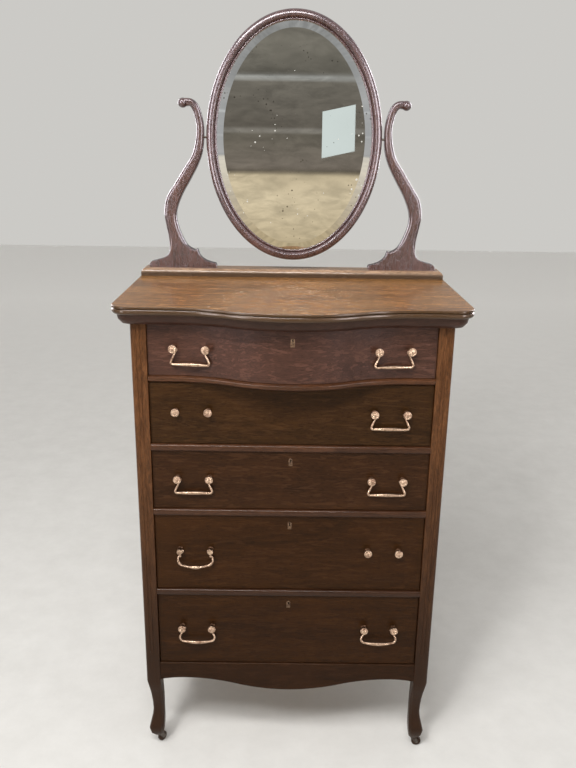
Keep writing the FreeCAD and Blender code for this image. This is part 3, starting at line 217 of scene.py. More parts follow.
def oak(name, dark, light, grain, fleck, shine, coat, seed, wear=0.5,
        tint=(1.0, 0.72, 0.52), sheen=0.16, floor_shade=0.0, edges=None):
    """Varnished quarter-sawn oak with its grain along one axis.

    dark and light are the two tones. fleck is the share of pale ribbons and wear that of
    rubbed arrises. shine is the roughness, coat and sheen say how much the varnish mirrors,
    and tint is its colour. fade is how much shade is painted in towards the floor. With edges,
    faces that look up less than its two values say are painted darker, as painted shade.
    """
    made = Finish(name)
    stretch = ALONG[grain]
    shift = (seed, seed * 1.7, seed * 2.3)
    broad = made.noise(made.place(scaled(stretch, 0.9), shift=shift), 2.6, 6.0, 0.62, 0.8)
    streaks = made.noise(made.place(scaled(stretch, 3.2), shift=shift), 5.0, 7.0, 0.68, 0.35)
    pores = made.noise(made.place(scaled(stretch, 9.0), shift=shift), 9.0, 3.0, 0.7)
    leaning = made.place(scaled(stretch, 0.62), turn=LEAN_OF_FLECK[grain], shift=shift)
    ribbons = made.noise(leaning, 28.0, 3.0, 0.6, 1.1)

    tone = made.plus(made.times(broad, 0.55), made.times(streaks, 0.45))
    colour = made.ramp(tone, (0.36, dark), (0.64, light))
    open_pores = made.ramp(pores, (0.40, 1.0), (0.50, 0.0))
    colour = made.mix(made.times(open_pores, 0.55), colour, scaled(dark, 0.35))
    ray = made.ramp(ribbons, (0.54, 0.0), (0.61, 1.0))
    colour = made.mix(made.times(ray, fleck * 0.5), colour, lightened(light, 1.7, 0.006))
    patch = made.noise(made.place(shift=shift), 4.5, 6.0, 0.62, 0.4)
    rubbed = made.ramp(patch, (0.52, 0.0), (0.72, 1.0))
    colour = made.mix(made.times(rubbed, 0.18), colour, scaled(light, 1.4))
    worn = made.times(worn_edges(made), wear)
    colour = made.mix(worn, colour, lightened(light, 2.6, 0.02))
    # painted shade: the wood is painted darker towards the floor, where less light falls
    if floor_shade:
        shade = made.ramp(made.split(made.place())["Z"], (0.30, floor_shade), (1.0, 0.0))
        colour = made.mix(shade, colour, scaled(dark, 0.32))
    # painted shade: faces that don't look up, such as the top's bead and lip and the mirror base's
    # front, are painted darker than faces that look up
    if edges:
        facing = made.put("ShaderNodeNewGeometry").outputs["Normal"]
        level = made.ramp(made.split(facing)["Z"], (edges[0], 0.0), (edges[1], 1.0))
        painted_shade_colour = made.mix(0.5, scaled(dark, 0.3), scaled(light, 0.16))
        colour = made.mix(level, painted_shade_colour, colour)

    gloss = made.plus(made.times(streaks, 0.22), shine - 0.11)
    made.look(
        Base_Color=colour, Roughness=made.plus(gloss, made.times(rubbed, 0.10)),
        Specular_IOR_Level=sheen, Specular_Tint=tint,
        Coat_Weight=coat, Coat_Roughness=0.16, Coat_Tint=tint,
    )
    made.relief(made.sums("SUBTRACT", streaks, open_pores), 0.3, 0.0006)
    return made.material


oaks = {
    # the top's flat keeps the lit golden tone, and its bead and lip are painted darker, as painted
    # shade
    "top": oak(
        "golden_oak", (0.135, 0.060, 0.016), (0.36, 0.185, 0.060), "x", seed=1.0, fleck=0.8,
        shine=0.22, coat=0.5, wear=0.2, tint=(1.0, 0.86, 0.74), sheen=0.35, edges=(0.90, 0.985)),
    "moulding": oak(
        "moulding_oak", (0.026, 0.012, 0.008), (0.062, 0.029, 0.022), "x", seed=2.0, fleck=0.3,
        shine=0.32, coat=0.3, wear=0.3),
    # the base is painted pale where it looks up, as a painted highlight on its nose, and darker on
    # its front, as painted shade
    "base": oak(
        "base_oak", (0.17, 0.095, 0.050), (0.44, 0.30, 0.20), "x", seed=17.0, fleck=0.6,
        shine=0.24, coat=0.7, wear=0.3, tint=(1.0, 0.92, 0.84), sheen=0.4, edges=(0.10, 0.75)),
    "post": oak(
        "post_oak", (0.048, 0.018, 0.006), (0.150, 0.064, 0.024), "z", seed=3.0, fleck=0.5,
        shine=0.36, coat=0.20, wear=0.8, floor_shade=0.95),
    "rail": oak(
        "rail_oak", (0.036, 0.014, 0.006), (0.100, 0.042, 0.019), "x", seed=4.0, fleck=0.4,
        shine=0.30, coat=0.3, wear=1.0, tint=(1.0, 0.82, 0.70), floor_shade=0.9),
    "side": oak(
        "side_oak", (0.038, 0.015, 0.006), (0.092, 0.037, 0.016), "z", seed=5.0, fleck=0.5,
        shine=0.40, coat=0.05),
    # the apron is painted darker than its wood, as painted shade low on the case
    "apron": oak(
        "apron_oak", (0.010, 0.0035, 0.001), (0.026, 0.009, 0.0025), "x", seed=16.0, fleck=0.4,
        shine=0.42, coat=0.04),
    "harp": oak(
        "harp_oak", (0.026, 0.012, 0.010), (0.108, 0.058, 0.050), "z", seed=6.0, fleck=0.3,
        shine=0.20, coat=1.0, wear=0.2, tint=(1.0, 0.94, 0.97), sheen=0.7),
    # The fronts share one oak with painted light in their tones: the top front is painted lighter
    # for the sheen its curved face catches, and the fronts below step darker, as painted shade of
    # the light falling from above.
    "front_1": oak(
        "front_oak_1", (0.030, 0.012, 0.007), (0.080, 0.035, 0.021), "x", seed=7.0, fleck=0.8,
        shine=0.30, coat=0.35, wear=0.7, tint=(1.0, 0.88, 0.88)),
    "front_2": oak(
        "front_oak_2", (0.014, 0.006, 0.0015), (0.046, 0.019, 0.005), "x", seed=8.0, fleck=0.6,
        shine=0.38, coat=0.08, wear=0.7),
    "front_3": oak(
        "front_oak_3", (0.014, 0.005, 0.0015), (0.042, 0.016, 0.005), "x", seed=9.0, fleck=0.7,
        shine=0.38, coat=0.08, wear=0.7),
    "front_4": oak(
        "front_oak_4", (0.014, 0.005, 0.001), (0.040, 0.014, 0.003), "x", seed=10.0, fleck=0.5,
        shine=0.40, coat=0.05, wear=0.7),
    "front_5": oak(
        "front_oak_5", (0.012, 0.004, 0.001), (0.035, 0.012, 0.002), "x", seed=11.0, fleck=0.4,
        shine=0.40, coat=0.05, wear=0.7),
}
print(len(oaks), "varnished oaks")

# %% [markdown]
# The inside of a chest is never varnished. Drawer sides, bottoms, runners and the back are
# plain pale softwood that has only gone brown and dusty with age. The same recipe serves,
# with a rougher surface, hardly any fleck and no coat.

# %% Bare wood for the inside
bare = {
    "long": oak(
        "bare_wood_long", (0.22, 0.135, 0.070), (0.42, 0.29, 0.165), "y", seed=12.0, fleck=0.1,
        shine=0.62, coat=0.0, wear=0.2),
    "tall": oak(
        "bare_wood_tall", (0.15, 0.090, 0.050), (0.28, 0.175, 0.10), "z", seed=14.0, fleck=0.1,
        shine=0.66, coat=0.0, wear=0.2),
}
print(len(bare), "bare woods")

# %% [markdown]
# The pulls are cast and drawn brass that once had a copper wash. Where fingers rub it the
# metal is bright and pinkish, and in the corners it has gone brown. Metal colour comes from
# the reflection, so the tarnish is a patch pattern that drives colour and roughness
# together. The escutcheons are darker brass. The knobs' necks are darker still, which is
# painted shade under the heads, and the casters and pins are dark iron, with the same idea
# in other colours.


# %% The recipe for worn metal
def worn_metal(name, bright, dull, rough, spots, size):
    """Metal whose bright colour gives way to a dull one in patches; a larger size is finer."""
    made = Finish(name)
    where = made.place()
    patches = made.ramp(made.noise(where, size, 5.0, 0.6, 0.3), (0.42, 0.0), (0.66, 1.0))
    speckle = made.ramp(made.noise(where, size * 5.5, 2.0, 0.5), (0.50, 0.0), (0.60, 0.8))
    share = made.times(made.sums("MAXIMUM", patches, speckle), spots)
    roughness = made.plus(made.times(share, 0.35), rough)
    made.look(Base_Color=made.mix(share, bright, dull), Roughness=roughness, Metallic=1.0)
    made.relief(made.noise(where, size * 9.0, 3.0, 0.6), 0.25, 0.0003)
    return made.material


brass = worn_metal(
    "pull_brass", (0.66, 0.48, 0.34), (0.17, 0.09, 0.055), rough=0.24, spots=0.9, size=70.0)
old_brass = worn_metal(
    "escutcheon_brass", (0.20, 0.13, 0.08), (0.06, 0.035, 0.025), rough=0.42, spots=0.9, size=80.0)
# painted shade: a darker brass for the knobs' feet and necks, which lie under the heads
shadow_brass = worn_metal(
    "neck_brass", (0.11, 0.06, 0.035), (0.04, 0.02, 0.012), rough=0.45, spots=0.9, size=80.0)
iron = worn_metal(
    "dark_iron", (0.16, 0.14, 0.12), (0.07, 0.05, 0.04), rough=0.45, spots=0.8, size=50.0)
wheel_wood = oak(
    "wheel_maple", (0.018, 0.010, 0.007), (0.045, 0.026, 0.018), "z", seed=15.0, fleck=0.1,
    shine=0.5, coat=0.0)
print("metals and wheel wood made")

# %% [markdown]
# A mirror plate is clear glass with silver behind it. After a hundred years the silver lets
# go in small dark spots, in a few places it flakes off and leaves pale specks, and a thin
# grey bloom lies over the rest. We make it as one bright metal surface, which mirrors what
# stands around it, and let spots, specks and bloom dull it.


# %% The old silvered glass
def silvered_glass():
    made = Finish("old_silvering")
    where = made.place()
    specks = made.put("ShaderNodeTexVoronoi", Vector=where, Scale=95.0).outputs["Distance"]
    clusters = made.ramp(made.noise(where, 11.0, 4.0, 0.6, 0.5), (0.48, 0.0), (0.75, 1.0))
    spots = made.sums("LESS_THAN", specks, made.times(clusters, 0.30))
    bloom = made.ramp(made.noise(where, 5.0, 6.0, 0.6, 0.8), (0.40, 0.0), (0.80, 1.0))
    silver = made.mix(made.times(bloom, 0.30), (0.86, 0.87, 0.86), (0.62, 0.61, 0.58))
    aside = made.place(shift=(0.3, 0.1, 0.7))
    flakes = made.put("ShaderNodeTexVoronoi", Vector=aside, Scale=70.0).outputs["Distance"]
    thin = made.ramp(made.noise(where, 7.0, 3.0, 0.6, 0.8), (0.50, 0.0), (0.70, 1.0))
    bare_spots = made.sums("LESS_THAN", flakes, made.times(thin, 0.20))
    tone = made.mix(made.times(spots, 0.75), silver, (0.10, 0.08, 0.06))
    made.look(
        Base_Color=made.mix(bare_spots, tone, (0.55, 0.54, 0.50)),
        Metallic=made.sums("SUBTRACT", 1.0, bare_spots),
        Roughness=made.plus(made.times(bloom, 0.05), made.times(spots, 0.12)),
    )
    return made.material


silver = silvered_glass()
print("silvering made")

# %% [markdown]
# Each measured piece gets its finish by name. Crisp machine edges give a computer picture
# away, so a small bevel follows on every wooden board: it first welds the loose faces of
# the solid together, rounds the corners that are sharper than a set angle, and evens the
# shading so that flat faces stay flat.


# %% Dress the boards
ARRIS = 0.0012
SHARP = math.radians(38.0)
MERGE = 0.00002


def paint(obj, material):
    obj.data.materials.clear()
    obj.data.materials.append(material)


def soften(obj, width):
    """Welds, rounds sharp edges by a width, if there is one, and evens the shading."""
    if "custom_normal" in obj.data.attributes:
        obj.data.attributes.remove(obj.data.attributes["custom_normal"])
    weld = obj.modifiers.new("weld", "WELD")
    weld.merge_threshold = MERGE
    if width:
        bevel = obj.modifiers.new("edges", "BEVEL")
        bevel.width = width
        bevel.segments = 2
        bevel.limit_method = "ANGLE"
        bevel.angle_limit = SHARP
        bevel.harden_normals = False
    for face in obj.data.polygons:
        face.use_smooth = True
    even = obj.modifiers.new("shading", "WEIGHTED_NORMAL")
    even.keep_sharp = False


FINISHES = {
    "top_board": oaks["top"],
    "top_moulding": oaks["moulding"],
    "mirror_base": oaks["base"],
    "front_left_post": oaks["post"],
    "front_right_post": oaks["post"],
    "back_left_post": oaks["post"],
    "back_right_post": oaks["post"],
    "side_rails": oaks["side"],
    "side_panels": oaks["side"],
    "curved_rail": oaks["rail"],
    "drawer_rails": oaks["rail"],
    "apron": oaks["apron"],
    "drawer_runners": bare["long"],
    "back_panel": bare["tall"],
    "left_harp": oaks["harp"],
    "right_harp": oaks["harp"],
    "mirror_frame": oaks["harp"],
    "mirror_backboard": bare["tall"],
    "mirror_glass": silver,
    "pivot_pins": iron,
    "caster_sockets": iron,
}
for name, obj in nodes.items():
    material = FINISHES.get(name)
    if name.endswith("_front"):
        material = oaks[f"front_{name.split('_')[1]}"]
    elif name.endswith("_box"):
        material = bare["long"]
    elif "pull_posts" in name or name.endswith("_bail"):
        material = brass
    elif "lock" in name:
        material = old_brass
    elif "caster" in name:
        material = wheel_wood if "wheel" in name else iron
    paint(obj, material)
    wooden = material in oaks.values() or material in bare.values()
    if name != "mirror_glass":
        soften(obj, ARRIS if wooden else 0.0)
print("dressed", len(nodes), "pieces")

# %% [markdown]
# Some pieces need more than a finish. A turned knob, a bent wire or a moulded oval is round
# on the real chest, where the drawing has a few flats. Such a piece is made again here as a
# smooth skin stretched over rings of points, like the hull of a boat over its ribs. The
# helpers below stretch the skin, keep real arrises crisp and hang the new piece on the same
# moving part as the one it stands for.


# %% Helpers for smooth pieces
def skin(rings, endless=False):
    """Places and faces of a surface over rings of equal count; open ends get flat caps."""
    count = len(rings[0])
    places = [place for ring in rings for place in ring]
    faces = []
    pairs = len(rings) if endless else len(rings) - 1
    for low in range(pairs):
        high = (low + 1) % len(rings)
        for index in range(count):
            after = (index + 1) % count
            here, there = low * count, high * count
            faces.append((here + index, here + after, there + after, there + index))
    if not endless:
        faces.append(tuple(range(count)))
        faces.append(tuple(range(len(places) - count, len(places))))
    return places, faces


def build(name, parts, material, node, crisp=40.0, shaded_parts=(), dark=None):
    """One piece from several skins; edges that turn by more than crisp degrees stay sharp."""
    places, faces, finish_of = [], [], []
    for number, (part_places, part_faces) in enumerate(parts):
        base = len(places)
        places += part_places
        faces += [tuple(base + index for index in face) for face in part_faces]
        finish_of += [1 if number in shaded_parts else 0] * len(part_faces)
    mesh = bpy.data.meshes.new(name)
    mesh.from_pydata(places, [], faces)
    mesh.polygons.foreach_set("material_index", finish_of)
    work = bmesh.new()
    work.from_mesh(mesh)
    bmesh.ops.remove_doubles(work, verts=work.verts, dist=1e-6)
    bmesh.ops.recalc_face_normals(work, faces=work.faces)
    limit = math.radians(crisp)
    for edge in work.edges:
        if len(edge.link_faces) == 2:
            edge.smooth = edge.calc_face_angle() < limit
    for face in work.faces:
        face.smooth = True
    work.to_mesh(mesh)
    work.free()
    obj = bpy.data.objects.new(name, mesh)
    bpy.context.scene.collection.objects.link(obj)
    obj.data.materials.append(material)
    if dark:
        obj.data.materials.append(dark)
    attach(obj, nodes[node].parent.name.split(":")[1])
    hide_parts(node)
    return obj


def lathe(profile, origin, axis, count, relief=None):
    """A turned skin: profile is a list of (distance along the axis, radius)."""
    axis = Vector(axis).normalized()
    side = axis.orthogonal().normalized()
    other = axis.cross(side)
    rings = []
    for along, radius in profile:
        ring = []
        for index in range(count):
            turn = 2 * math.pi * index / count
            rise = relief(radius, turn) if relief else 0.0
            outwards = side * math.cos(turn) + other * math.sin(turn)
            ring.append(Vector(origin) + axis * (along + rise) + outwards * radius)
        rings.append(ring)
    return skin(rings)


def islands(node):
    """The separate solids of a node, each as its list of points."""
    work = bmesh.new()
    work.from_mesh(nodes[node].data)
    bmesh.ops.remove_doubles(work, verts=work.verts, dist=MERGE)
    left = set(work.verts)
    found = []
    while left:
        reached = [left.pop()]
        for vert in reached:
            for edge in vert.link_edges:
                far = edge.other_vert(vert)
                if far in left:
                    left.remove(far)
                    reached.append(far)
        found.append([vert.co.copy() for vert in reached])
    work.free()
    return found


print("smooth pieces can be made")

# %% [markdown]
# The top board is the piece that light falls on first, so its edge has to be right. The
# real edge is worked with two moulding planes: a full bead below, a crease, and a thin lip
# above. A plane follows the front in one sweep, through hollow, bulge and hollow, and turns
# round the corners. Here one outline is drawn for any distance outside the case, and every
# line of the edge is that outline at its own distance and height.

# %% Top board
HALF_CASE, CASE_FRONT, BACK = 0.375, -0.1685, 0.2665
BULGE, SPAN = 0.060, 0.275
SWEEP = (SPAN**2 + BULGE**2) / (4 * BULGE)
SWING = math.degrees(math.asin(SPAN / (2 * SWEEP)))
TOP_OVERHANG, TOP_CORNER, TOP_UNDERSIDE, TOP_THICKNESS = 0.038, 0.040, 1.223, 0.0200
BEAD_DEPTH, BEAD_HEIGHT = 0.0062, 0.0145
LIP_FOOT, LIP_RADIUS, LIP_WIDTH = 0.0178, 0.0022, 0.0060


def around(centre_x, centre_y, radius, begin, finish, steps):
    """Points on an arc, with angles in degrees."""
    turns = [math.radians(begin + (finish - begin) * step / steps) for step in range(steps + 1)]
    return [
        (centre_x + radius * math.cos(turn), centre_y + radius * math.sin(turn))
        for turn in turns
    ]


def top_ring(inset, height):
    """The top's outline, this far inside its widest line."""
    push, corner = TOP_OVERHANG - inset, TOP_CORNER - inset
    side = HALF_CASE + push
    right = around(0.0, CASE_FRONT - BULGE + SWEEP, SWEEP + push, 270, 270 + SWING, 14)
    right += around(SPAN, CASE_FRONT - SWEEP, SWEEP - push, 90 + SWING, 90, 14)[1:]
    right += around(side - corner, CASE_FRONT - push + corner, corner, 270, 360, 12)
    right.append((side, BACK))
    left = [(-x, y) for x, y in reversed(right[1:])]
    return [Vector((x, y, TOP_UNDERSIDE + height)) for x, y in left + right]


turns = [math.pi * (step / 16 - 0.5) for step in range(17)]
edge = [
    (BEAD_DEPTH * (1 - math.cos(turn)), BEAD_HEIGHT / 2 * (1 + math.sin(turn)))
    for turn in turns
]
edge += [(0.0, BEAD_HEIGHT), (0.0, LIP_FOOT)]
edge += [
    (LIP_RADIUS * (1 - math.cos(turn)), LIP_FOOT + LIP_RADIUS * math.sin(turn))
    for turn in turns[9:]
]
edge.append((LIP_WIDTH, TOP_THICKNESS))
outlines = [top_ring(*step) for step in edge]
build("top_board_smooth", [skin(outlines)], oaks["top"], "top_board", 50.0)
print("top board made from", len(edge), "outlines")

# %% [markdown]
# The mirror's frame is one oval moulding, glued up from four sawn curves and worked with a
# scratch stock: a full round that falls away to a thin bead beside the glass. Here the
# section is drawn once, as insets from the rim and heights above the frame's plane, and is
# carried round the oval at right angles to it. The plate behind it has a ground bevel as
# wide as a thumb, which must stay crisp where it meets the flat.

# %% Mirror
STATIONS = 192
HALF_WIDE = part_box("mirror_frame")[1].x
HALF_HIGH = 0.315
LEAN = math.radians(90.0 - 4.4)
PIVOT = Vector((0.0, 0.23125, 1.605))


def on_mirror(turn, inset, height):
    """A place by its turn round the oval, its inset from the rim and its height off the plane."""
    x, y = HALF_WIDE * math.cos(turn), HALF_HIGH * math.sin(turn)
    outwards = Vector((x / HALF_WIDE**2, y / HALF_HIGH**2)).normalized()
    x, y = x - outwards.x * inset, y - outwards.y * inset
    across = y * math.cos(LEAN) - height * math.sin(LEAN)
    upwards = y * math.sin(LEAN) + height * math.cos(LEAN)
    return PIVOT + Vector((x, across, upwards))


def oval_rings(section):
    turns = [2 * math.pi * index / STATIONS for index in range(STATIONS)]
    return [[on_mirror(turn, inset, height) for turn in turns] for inset, height in section]


def bow(begin, finish, bulge, steps):
    """Points from begin to finish along a bow that swells to one side."""
    (x0, y0), (x1, y1) = begin, finish
    wide, high = x1 - x0, y1 - y0
    points = []
    for step in range(steps + 1):
        share = step / steps
        swell = bulge * 4 * share * (1 - share)
        points.append((x0 + wide * share - high * swell, y0 + high * share + wide * swell))
    return points


CROWN_WIDTH, CROWN_HEIGHT, FRAME_BACK = 0.0145, 0.0100, -0.0100
BEAD_AT, BEAD_LIFT, BEAD_RADIUS = 0.0246, 0.0022, 0.0024
REBATE, GLASS_BACK = 0.0202, -0.00428
crown = []
for step in range(17):
    turn = math.pi * step / 32
    crown.append((CROWN_WIDTH - CROWN_WIDTH * math.cos(turn), CROWN_HEIGHT * math.sin(turn)))
crown += bow((CROWN_WIDTH, CROWN_HEIGHT), (0.0212, 0.0034), 0.10, 7)[1:]
bead = []
for step in range(11):
    turn = math.pi * step / 10
    inset, height = BEAD_AT - BEAD_RADIUS * math.cos(turn), BEAD_LIFT + BEAD_RADIUS * math.sin(turn)
    bead.append((inset, height))
section = [(0.0, FRAME_BACK), (0.0, -0.0095)] + crown + [(0.0217, 0.0020)] + bead
section += [(0.0270, 0.0), (REBATE, 0.0), (REBATE, -0.0098), (0.0198, FRAME_BACK)]
moulding = skin(oval_rings(section), endless=True)
build("mirror_frame_smooth", [moulding], oaks["harp"], "mirror_frame", 34.0)
plate = [(0.0208, GLASS_BACK), (0.0208, -0.00068), (0.0448, 0.00172)]
build("mirror_plate", [skin(oval_rings(plate))], silver, "mirror_glass", 3.0)
rim = [(0.0212, -0.00828), (0.0204, -0.0075), (0.0204, GLASS_BACK)]
build("mirror_back", [skin(oval_rings(rim))], bare["tall"], "mirror_backboard")
print("mirror made with", STATIONS, "stations")

# %% [markdown]
# Each arm that carries the mirror is sawn from one board and then worked with a spokeshave:
# the front is rounded until only the foot is left flat, and the upper end is carved to a
# ball. The outline below is given in shares of the arm's reach and rise. The front is
# rounded by drawing the outline inwards in steps while it comes forward, and the width of
# the rounding follows the width of the wood, so the arm keeps its spine where it narrows.


# %% The two arms
HARP_INNER = 0.236
HARP_REACH = 0.110
BASE_TOP = 1.264
HARP_RISE = 0.341
HARP_BACK = 0.24225
HARP_FRONT = 0.22025
FOOT_RUN = [
    (-0.262, 0.0), (-0.264, 0.016), (-0.238, 0.034), (-0.13, 0.043), (0.03, 0.063),
    (0.15, 0.098), (0.209, 0.148),
]
INNER_RUN = [
    (0.264, 0.138), (0.46, 0.178), (0.618, 0.275), (0.705, 0.375), (0.683, 0.462),
    (0.545, 0.572), (0.355, 0.678), (0.150, 0.800), (0.035, 0.909), (0.0, 1.05),
    (0.040, 1.150), (0.127, 1.232), (0.270, 1.276), (0.454, 1.282),
]
OUTER_RUN = [
    (0.409, 1.222), (0.320, 1.222), (0.236, 1.175), (0.176, 1.055), (0.275, 0.888),
    (0.500, 0.768), (0.747, 0.645), (0.940, 0.545), (1.003, 0.430), (0.965, 0.325),
    (0.910, 0.230), (0.900, 0.130), (1.000, 0.082), (1.180, 0.060), (1.345, 0.045),
    (1.404, 0.028), (1.409, 0.0),
]
FOOT_TOP, FOOT_FADE, FOOT_EDGE = 0.030, 0.045, 0.0012
ROUNDING, ROUNDED_SHARE, BACK_EDGE_SHARE = 0.0095, 0.42, 0.12
BALL_PLACE, BALL_RADIUS = (0.491, 1.2475), 0.0125
CREASE_AT, CREASE_REACH, CREASE_SHARE = 0.0080, 0.0012, 0.93


def between(before, start, end, after, share):
    """One coordinate of a smooth line, at a share of the way from start to end."""
    second = (2 * before - 5 * start + 4 * end - after) * share * share
    third = (3 * start - before - 3 * end + after) * share**3
    return 0.5 * (2 * start + (end - before) * share + second + third)


def spline(points, step=0.0028):
    """A smooth line through points, cut into short equal steps."""
    ends = [points[0]] + points + [points[-1]]
    line = [points[0]]
    for four in zip(ends, ends[1:], ends[2:], ends[3:]):
        cuts = max(1, round(math.dist(four[1], four[2]) / step))
        for cut in range(1, cuts + 1):
            line.append(tuple(between(*values, cut / cuts) for values in zip(*four)))
    return line


def cross2(a, b):
    return a[0] * b[1] - a[1] * b[0]


def inward_normals(outline):
    normals = []
    for index, here in enumerate(outline):
        before, after = Vector(outline[index - 1]), Vector(outline[(index + 1) % len(outline)])
        first, second = (Vector(here) - before).normalized(), (after - Vector(here)).normalized()
        middle = Vector((-first.y - second.y, first.x + second.x))
        middle.normalize()
        normals.append(middle / max(0.45, Vector((-first.y, first.x)).dot(middle)))
    return normals


def room_inwards(outline, normals):
    """How far the wood reaches from each point of the outline to its other side."""
    rooms = []
    count = len(outline)
    for index, (here, normal) in enumerate(zip(outline, normals)):
        heading = normal.normalized()
        best = 1.0
        for other in range(count):
            if min((other - index) % count, (index - other) % count) < 4:
                continue
            start, end = Vector(outline[other]), Vector(outline[(other + 1) % count])
            along = end - start
            under = cross2(heading, along)
            if abs(under) < 1e-12:
                continue
            gap = start - Vector(here)
            reach, share = cross2(gap, along) / under, cross2(gap, heading) / under
            if 0.0 < reach < best and 0.0 <= share <= 1.0:
                best = reach
        rooms.append(best)
    return rooms


def rounding_widths(outline, normals):
    """How wide the rounding of the front is at each point: small on the foot, full above it."""
    widths = []
    for (_, z), room in zip(outline, room_inwards(outline, normals)):
        carved = min(ROUNDING, ROUNDED_SHARE * room)
        width = FOOT_EDGE + (carved - FOOT_EDGE) * limited((z - FOOT_TOP) / FOOT_FADE)
        widths.append(min(width, ROUNDED_SHARE * room))
    for _ in range(4):
        after = widths[1:] + widths[:1]
        widths = [(widths[i - 1] + 2 * w + after[i]) / 4 for i, w in enumerate(widths)]
    return widths


def carved_ball(side):
    """The ball at an arm's upper end, with a crease round each cheek."""
    inwards, upwards = BALL_PLACE
    middle = Vector((
        side * (HARP_INNER + inwards * HARP_REACH),
        (HARP_FRONT + HARP_BACK) / 2,
        BASE_TOP + upwards * HARP_RISE,
    ))
    profile = []
    for step in range(1, 18):
        turn = math.pi * step / 18
        along, radius = -BALL_RADIUS * math.cos(turn), BALL_RADIUS * math.sin(turn)
        creased = abs(abs(along) - CREASE_AT) < CREASE_REACH
        profile.append((along, radius * (CREASE_SHARE if creased else 1.0)))
    return lathe(profile, middle, (0, -1, 0), 36)


def make_arm(side):
    runs = (FOOT_RUN, INNER_RUN, OUTER_RUN)
    lines = [spline([(HARP_REACH * x, HARP_RISE * z) for x, z in run]) for run in runs]
    outline = [point for line in lines for point in line]
    area = sum(cross2(a, b) for a, b in zip(outline, outline[1:] + outline[:1]))
    if area < 0:
        outline.reverse()
    normals = inward_normals(outline)
    widths = rounding_widths(outline, normals)
    layers = [(BACK_EDGE_SHARE, HARP_BACK, 0.0), (0.0, HARP_BACK, -BACK_EDGE_SHARE)]
    for step in range(10):
        turn = math.pi / 2 * step / 9
        layers.append((1 - math.cos(turn), HARP_FRONT, 1 - math.sin(turn)))
    rings = []
    for inset_share, y, y_share in layers:
        ring = []
        for (x, z), normal, width in zip(outline, normals, widths):
            inset = normal * (width * inset_share if z >= 0.0005 else 0.0)  # the sole stays flat
            x, z = HARP_INNER + x + inset.x, BASE_TOP + z + inset.y
            ring.append(Vector((side * x, y + width * y_share, z)))
        rings.append(ring)
    label = "left_harp" if side < 0 else "right_harp"
    build(label + "_carved", [skin(rings), carved_ball(side)], oaks["harp"], label, 50.0)


for side in (-1, 1):
    make_arm(side)
print("two carved arms")

# %% [markdown]
# The pulls are the brightest things on the chest. Each knob was cast with a small flower on
# its face, its petals now half worn away, and its neck is drilled across for the wire of
# the handle. The handles themselves are drawn brass: thin where they leave the knobs, bent
# tightly at the lower corners, and hammered to a long swelling where the hand pulls. One
# handle, on the left of the fourth drawer, is an older one with a bead at each end of a
# thicker grip, a small ball on each twisted arm and two smaller, plain knobs. A handle is
# half a line, drawn from the knob to the lower corner, a grip, and the same half mirrored.


# %% Knobs and handles
KNOB_LENGTH = 0.0205
SHORTEST_POST = 0.02
OLD_DRAWER = 4
SMALL_KNOB = 0.72


def knobs(number):
    """For each knob of a drawer: the middle of its foot, its direction and its shank's end."""
    found = []
    for points in islands(f"drawer_{number}_pull_posts"):
        points.sort(key=lambda point: point.y)
        if points[-1].y - points[0].y < SHORTEST_POST:
            continue
        face = sum(points[:8], Vector()) / 8
        end = sum(points[-4:], Vector()) / 4
        axis = (face - end).normalized()
        found.append((face - axis * KNOB_LENGTH, axis, end))
    return sorted(found, key=lambda knob: knob[0].x)


FOOT = [(0.0, 0.0070), (0.0006, 0.0070), (0.0014, 0.0063), (0.0021, 0.0050), (0.0034, 0.0043)]
NECK = [(0.0100, 0.0043), (0.0128, 0.0046), (0.0150, 0.0058), (0.0160, 0.0062)]
HEAD = [(0.0154, 0.0060), (0.0157, 0.0092), (0.0163, 0.0099), (0.0186, 0.0099), (0.0193, 0.0094)]
FACE_RADII = (
    0.0090, 0.0086, 0.0082, 0.0076, 0.0069, 0.0062, 0.0055,
    0.0048, 0.0041, 0.0034, 0.0028, 0.0020, 0.0012, 0.0005,
)
FACE = [(KNOB_LENGTH - 11.0 * radius**2, radius) for radius in FACE_RADII]
NUT = [(-0.0040, 0.0040), (-0.0036, 0.0048), (-0.0004, 0.0048), (0.0, 0.0044)]
SHANK_RADIUS = 0.0022
PETALS, PETAL_RING, PETAL_SPREAD, PETAL_DEPTH = 8, 0.0055, 0.0030, 0.00070
BEADS, BEAD_RING, BEAD_SPREAD, BEAD_RISE = 24, 0.0086, 0.0008, 0.00045


def flower(radius, turn):
    """Relief of the knob's face: eight petals inside a ring of small beads."""
    petals = max(0.0, 1 - abs(radius - PETAL_RING) / PETAL_SPREAD)
    beads = max(0.0, 1 - abs(radius - BEAD_RING) / BEAD_SPREAD)
    carved = PETAL_DEPTH * petals * (math.cos(PETALS * turn) - 1)
    return carved + BEAD_RISE * beads * (math.cos(BEADS * turn) - 1)


def make_knobs(number):
    """The four knobs of a drawer, each as head, foot with neck, shank and nut."""
    parts = []
    for index, (foot, axis, end) in enumerate(knobs(number)):
        plain = number == OLD_DRAWER and index < 2
        size = SMALL_KNOB if plain else 1.0
        head = [(along, radius * size) for along, radius in HEAD + FACE]
        shank = [(-(end - foot).length, SHANK_RADIUS), (0.0, SHANK_RADIUS)]
        parts.append(lathe(head, foot, axis, 72, None if plain else flower))
        parts.append(lathe(FOOT + NECK, foot, axis, 24))
        parts.append(lathe(shank, foot, axis, 16))
        parts.append(lathe(NUT, end, axis, 4))
    # foot, neck, shank and nut take the darker brass, painted shade under the head
    dark = [index for index in range(len(parts)) if index % 4]
    node = f"drawer_{number}_pull_posts"
    build(f"drawer_{number}_knobs", parts, brass, node, 46.0, dark, shadow_brass)


